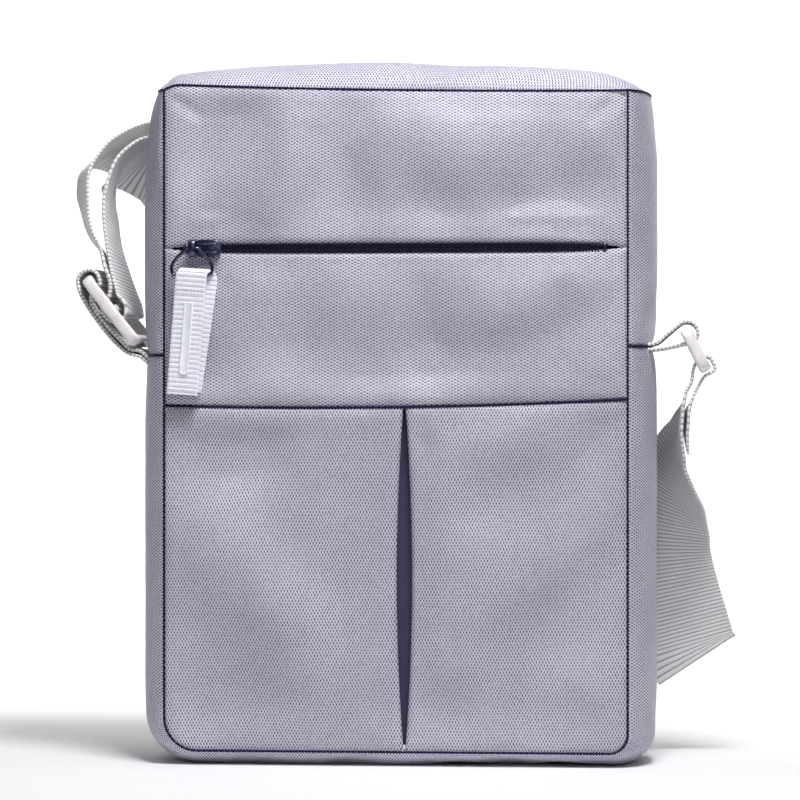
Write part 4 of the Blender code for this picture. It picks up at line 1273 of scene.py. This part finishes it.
def tape_edges(stations, width=WEBBING, per_span=3, finer=6):
    """Pairs of edge points for a tape through stations, close together and smooth."""
    made = sections(stations, per_span)
    edges = []
    last = len(made) - 1
    for k, (centre, across) in enumerate(made):
        ahead = made[min(k + 1, last)][0] - made[max(k - 1, 0)][0]
        side = ahead.cross(across).cross(ahead).normalized() * (width / 2)
        edges.append((centre - side, centre + side))
    values = np.array([[tuple(a), tuple(b)] for a, b in edges])
    fine = resample(values, (len(edges) - 1) * finer + 1)
    return [(Vector(a), Vector(b)) for a, b in fine]


class Hardware:
    """A plastic frame that webbing passes through: its middle, its long way and the way through it."""

    def __init__(self, centre, along, half):
        self.centre, self.along, self.half = Vector(centre) * MM, Vector(along).normalized(), half
        self.up = Vector((0, 1, 0)).cross(self.along).normalized()

    def place(self, u, y, w):
        """World position of a point given along the frame, along Y, and through it."""
        return self.centre + self.along * u + Vector((0, y, 0)) + self.up * w

    def stations(self, points):
        """Places along a bend round the frame's bars, from (along, through) in millimetres."""
        return [(self.place(u * MM, 0, w * MM), (0, 1, 0)) for u, w in points]

    def bar(self, path, closed):
        """A moulded bar with a soft rectangular section, along (along, across) points."""
        verts, faces = [], []
        count, ring = len(path), 20
        for k, (u, y) in enumerate(path):
            ahead = path[(k + 1) % count] if closed else path[min(k + 1, count - 1)]
            behind = path[k - 1] if closed else path[max(k - 1, 0)]
            du, dy = ahead[0] - behind[0], ahead[1] - behind[1]
            size = math.hypot(du, dy)
            nu, ny = dy / size, -du / size
            for s in range(ring):
                b = 2 * math.pi * s / ring
                wide = 1.95 * MM * math.copysign(abs(math.cos(b)) ** 0.55, math.cos(b))
                deep = 2.45 * MM * math.copysign(abs(math.sin(b)) ** 0.55, math.sin(b))
                verts.append(self.place(u + nu * wide, y + ny * wide, deep))
        for k in range(count if closed else count - 1):
            n = (k + 1) % count
            for s in range(ring):
                t = (s + 1) % ring
                faces.append((k * ring + s, n * ring + s, n * ring + t, k * ring + t))
        if not closed:
            faces.append(tuple(range(ring)))
            faces.append(tuple(range((count - 1) * ring, count * ring))[::-1])
        return outward(new_piece("bar", verts, faces, "white_plastic"))

    def frame(self, name, node, body, middle_bar):
        """The whole moulded frame."""
        half_u, half_y, corner = self.half - 2 * MM, WEBBING / 2 + 2.7 * MM, 2.6 * MM
        path = []
        for su, sy, start in ((1, 1, 0), (-1, 1, 90), (-1, -1, 180), (1, -1, 270)):
            for k in range(7):
                a = math.radians(start + 15 * k)
                path.append((su * (half_u - corner) + corner * math.cos(a),
                             sy * (half_y - corner) + corner * math.sin(a)))
        dense = []
        for k, (u, y) in enumerate(path):
            after = path[(k + 1) % len(path)]
            steps = max(1, int(math.hypot(after[0] - u, after[1] - y) / (2 * MM)))
            dense += [(u + (after[0] - u) * s / steps, y + (after[1] - y) * s / steps) for s in range(steps)]
        parts = [self.bar(dense, True)]
        if middle_bar:
            parts.append(self.bar([(0, y) for y in np.linspace(-half_y, half_y, 12)], False))
            for y in np.linspace(-half_y + 6 * MM, half_y - 6 * MM, 9):
                grip = [self.place(-1.6 * MM, y, 2.35 * MM), self.place(0, y, 2.6 * MM),
                        self.place(1.6 * MM, y, 2.35 * MM)]
                parts.append(tube("grip", even_path(grip, 0.4 * MM), 0.4 * MM, "white_plastic", 8))
        return settle(join(name, parts), body, "white_plastic", node)


def stitch_row(points, up, look="strap_webbing", length=2.1 * MM, radius=0.28 * MM):
    """A row of separate stitches along a line, each a short arched thread."""
    made = []
    path = even_path(points, length * 1.25)
    for a, b in zip(path, path[1:]):
        end = a + (b - a) * 0.8
        top = (a + end) / 2 + up * radius * 1.1
        made.append(tube("stitch", even_path([a, top, end], 0.3 * MM), radius, look, 6))
    return made


ADJUSTER = Hardware((-120.5, 0, 189.5), (-0.618, 0, 0.786), 17.8 * MM)
RING = Hardware((124.3, 0, 173.0), (0.455, 0, -0.890), 10 * MM)


def fold_turn(first, last):
    """The strap's folded edge at the lower right: pairs of points as it turns from one depth to another."""
    a, b = Vector((107.6, 0, 30.3)) * MM, Vector((140.7, 0, 52.2)) * MM
    away = (b - a).cross(Vector((0, 1, 0))).normalized()
    if away.z > 0:
        away = -away
    middle, radius = 39.3 * MM, 1.1 * MM
    turned = []
    for angle in np.linspace(first, last, 7):
        step = away * radius * math.cos(math.radians(angle))
        step += Vector((0, middle + radius * math.sin(math.radians(angle)), 0))
        turned.append((a + step, b + step))
    return turned


def left_strap():
    """The left tab, its adjuster, and the strap: up from behind the bag, round the bar and back."""
    tab = [(-27.5, -1.6), (-22.5, -2.6), (-18, -5.8), (-10, -7.4), (0, -7.6), (9, -7.0), (15, -5.8)]
    tab += [(19.6, -3.2), (20.6, 0.4), (19.2, 3.6), (15.8, 4.6), (12.3, 2.8), (11.6, -0.6), (9.4, -4.2)]
    tab += [(4, -5.6), (-5, -5.6), (-12, -4.8), (-17.5, -3.9), (-20.4, -1.2), (-27.0, 0.4)]
    edges = tape_edges(ADJUSTER.stations(tab), per_span=2)
    made = webbing("webbing_tab_left", edges, WEBBING_THICK, RIB, "strap_webbing")
    settle(made, None, "strap_webbing", "side_tab_left")
    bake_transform(made)
    rows = []
    for u in (-14.0, -11.6):
        ends = [ADJUSTER.place(u * MM, y, -7.55 * MM) for y in (-15 * MM, 0, 15 * MM)]
        rows += stitch_row(ends, -ADJUSTER.up)
    settle(join("stitches_tab_left", rows), "left_tab", "strap_webbing")
    ADJUSTER.frame("plastic_adjuster", "strap_adjuster", "left_tab", True)
    across = (-0.676, 0, -0.737)
    run = [
        ((101.0, 41, 62.1), across), ((85.0, 42, 76.8), across), ((0, 42.5, 155.0), across),
        ((-92.0, 44.5, 239.5), across), ((-107.5, 45.5, 255.0), (-0.66, 0.25, -0.69)),
        ((-119.5, 39.5, 262.0), (-0.58, 0.55, -0.55)), ((-126.0, 26, 262.0), (-0.4, 0.85, -0.3)),
        ((-132.5, 15, 256.0), (-0.3, 0.95, -0.1)), ((-136.0, 8, 246.0), (-0.26, 1, 0)),
        ((-135.4, 4, 235.0), (-0.24, 1, 0)), ((-132.8, 2, 224.0), (-0.2, 1, 0)),
        ((-126.2, 1, 213.0), (-0.12, 1, 0)),
    ]
    tail = [
        ((-116.2, 1, 194.5), (0.08, 1, 0)), ((-119.6, 2, 204.5), (0.05, 1, 0)),
        ((-123.3, 3, 219.0), (0, 1, 0)), ((-124.8, 5, 233.0), (0, 1, 0)),
        ((-123.6, 10, 245.0), (-0.05, 1, 0)), ((-120.0, 21, 254.0), (-0.25, 0.95, -0.15)),
        ((-115.0, 37, 256.0), (-0.6, 0.45, -0.6)), ((-103.5, 38.5, 251.0), (-0.68, 0.15, -0.7)),
        ((-90.0, 37, 240.0), across), ((-58.0, 37, 210.6), across),
    ]
    turn = [(15.5, 8.7), (9.5, 6.4), (5.8, 2.8), (4.4, -1.2), (2.2, -3.5), (-2.2, -3.5)]
    turn += [(-4.6, -1.2), (-5.2, 2.4), (-3.4, 4.8)]
    stations = [(Vector(c) * MM, w) for c, w in run]
    stations += ADJUSTER.stations(turn)
    stations += [(Vector(c) * MM, w) for c, w in tail]
    edges = fold_turn(0, 90)[:-1] + tape_edges(stations)
    strap = webbing("webbing_strap", edges, WEBBING_THICK, RIB, "strap_webbing")
    settle(strap, None, "strap_webbing", "strap_turn_left", "strap_run_back", "strap_tail")
    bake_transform(strap)


def right_strap():
    """The right tab, its ring, and the strap's end loop with the webbing hanging from it."""
    tab = [(103.5, 175.0), (108.3, 175.9), (112.5, 179.3)]
    pivot = RING.place(-8 * MM, 0, 0) / MM
    for angle in np.linspace(125, -95, 10):
        a = math.radians(angle)
        tab.append((pivot.x + 4.6 * math.cos(a), pivot.z + 4.6 * math.sin(a)))
    tab += [(114.0, 174.2), (108.3, 173.2), (103.5, 173.0)]
    stations = [(Vector((x, 0, z)) * MM, (0, 1, 0)) for x, z in tab]
    edges = tape_edges(stations, per_span=1, finer=12)
    made = webbing("webbing_tab_right", edges, WEBBING_THICK, RIB, "strap_webbing")
    settle(made, ROOT, "strap_webbing", "side_tab_right")
    RING.frame("plastic_ring", "strap_ring", "right_ring", False)
    loop = [(13.9, 11.5), (11.0, 7.6), (7.2, 4.9), (4.6, 1.8), (4.5, -1.8), (5.5, -3.8), (8, -4.2)]
    loop += [(10.7, -3.6), (11.5, -1.6), (11.6, 1.6), (13.4, 4.8), (15.8, 8.3)]
    hang = [
        ((113.6, 33.0, 79.0), (0.95, -0.22, 0.18)), ((112.8, 31, 96.0), (0.92, -0.39, 0)),
        ((113.8, 25, 110.0), (0.75, -0.66, 0)), ((115.4, 15, 122.0), (0.48, -0.877, 0)),
        ((117.0, 6.5, 133.0), (0.2, -0.98, 0)),
        ((118.2, 1.5, 143.0), (0.05, -1, 0)), ((119.3, 0, 150.5), (0, -1, 0)),
    ]
    sewn = [((122.0, 0, 149.5), (0, -1, 0)), ((120.9, 1.0, 143.5), (0.05, -1, 0)),
            ((119.7, 3.6, 136.5), (0.14, -1, 0))]
    stations = [(Vector((122.2, 37.8, 47.3)) * MM, (0.945, 0, 0.327))]
    stations += [(Vector(c) * MM, w) for c, w in hang]
    stations += [(p, (0, -1, 0)) for p, _ in RING.stations(loop)]
    stations += [(Vector(c) * MM, w) for c, w in sewn]
    edges = [(a, b) for a, b in fold_turn(0, -90)[:-1]] + tape_edges(stations)
    strap = webbing("webbing_hang_right", edges, WEBBING_THICK, RIB, "strap_webbing")
    settle(strap, None, "strap_webbing", "strap_loop_right", "strap_hang_right")
    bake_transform(strap)


# ---------------------------------------------------------------- camera, floor and light


def camera():
    """A level camera a little to the right of the front, about 1.5 m away."""
    turn = math.radians(4.7)
    target = Vector((2.3, -32.5, 152.0)) * MM
    seen = bpy.data.cameras.new("camera")
    seen.lens = 163
    seen.sensor_width = 36
    made = bpy.data.objects.new("camera", seen)
    back = Vector((math.sin(turn), -math.cos(turn), 0))
    made.location = target + back * 1.5
    made.rotation_mode = "QUATERNION"
    made.rotation_quaternion = (-back).to_track_quat("-Z", "Y")
    bpy.context.scene.collection.objects.link(made)
    bpy.context.scene.camera = made


def studio():
    """A pale floor that curves up behind, a large soft key at the upper left, and fills."""
    profile = [(-3.0, 0.0), (2.0, 0.0)]
    profile += [(2.0 + 0.5 * math.sin(a), 0.5 - 0.5 * math.cos(a)) for a in np.linspace(0.1, math.pi / 2, 12)]
    profile += [(2.5, 2.6)]
    verts = [(x, y, z) for y, z in profile for x in (-3.2, 3.2)]
    faces = [(2 * k, 2 * k + 1, 2 * k + 3, 2 * k + 2) for k in range(len(profile) - 1)]
    mesh = bpy.data.meshes.new("backdrop")
    mesh.from_pydata(verts, [], faces)
    mesh.shade_smooth()
    paper = Shader("backdrop_paper", 0.9)
    mesh.materials.append(paper.finish(paper.mix(paper.noise(3), (0.90, 0.90, 0.91), (0.93, 0.93, 0.94))))
    floor = bpy.data.objects.new("backdrop", mesh)
    bpy.context.scene.collection.objects.link(floor)
    lamps = (
        ("key", (0.14, -0.37, 0.88), 0.26, 2.8, 110),
        ("front", (0.15, -1.5, 0.60), 0.8, 0.20, 60),
        ("room", (0.0, -1.0, 2.4), 2.4, 6.6, 180),
        ("over", (0.0, 0.05, 1.3), 0.5, 0.6, 120),
        ("back", (-0.1, 0.85, 1.25), 1.6, 46.0, 180),
    )
    for name, place, size, power, spread in lamps:
        light = bpy.data.lights.new(name, "AREA")
        light.size = size
        light.energy = power
        light.spread = math.radians(spread)
        lamp = bpy.data.objects.new(name, light)
        lamp.location = place
        aim = Vector((0, 0, 0.14)) - Vector(place)
        if name == "back":
            aim = Vector((0, 1.0, -0.7))
        if name == "room":
            aim = Vector((0, 0, -1))
        lamp.rotation_mode = "QUATERNION"
        lamp.rotation_quaternion = aim.to_track_quat("-Z", "Y")
        bpy.context.scene.collection.objects.link(lamp)
    world = bpy.data.worlds.new("studio")
    world.use_nodes = True
    world.node_tree.nodes["Background"].inputs["Color"].default_value = (0.97, 0.98, 1, 1)
    world.node_tree.nodes["Background"].inputs["Strength"].default_value = 0.09
    bpy.context.scene.world = world
    bpy.context.scene.view_settings.view_transform = "Standard"


camera()
studio()
front_and_back()
sides()
top_strips()
seam_threads()
zips()
left_strap()
right_strap()
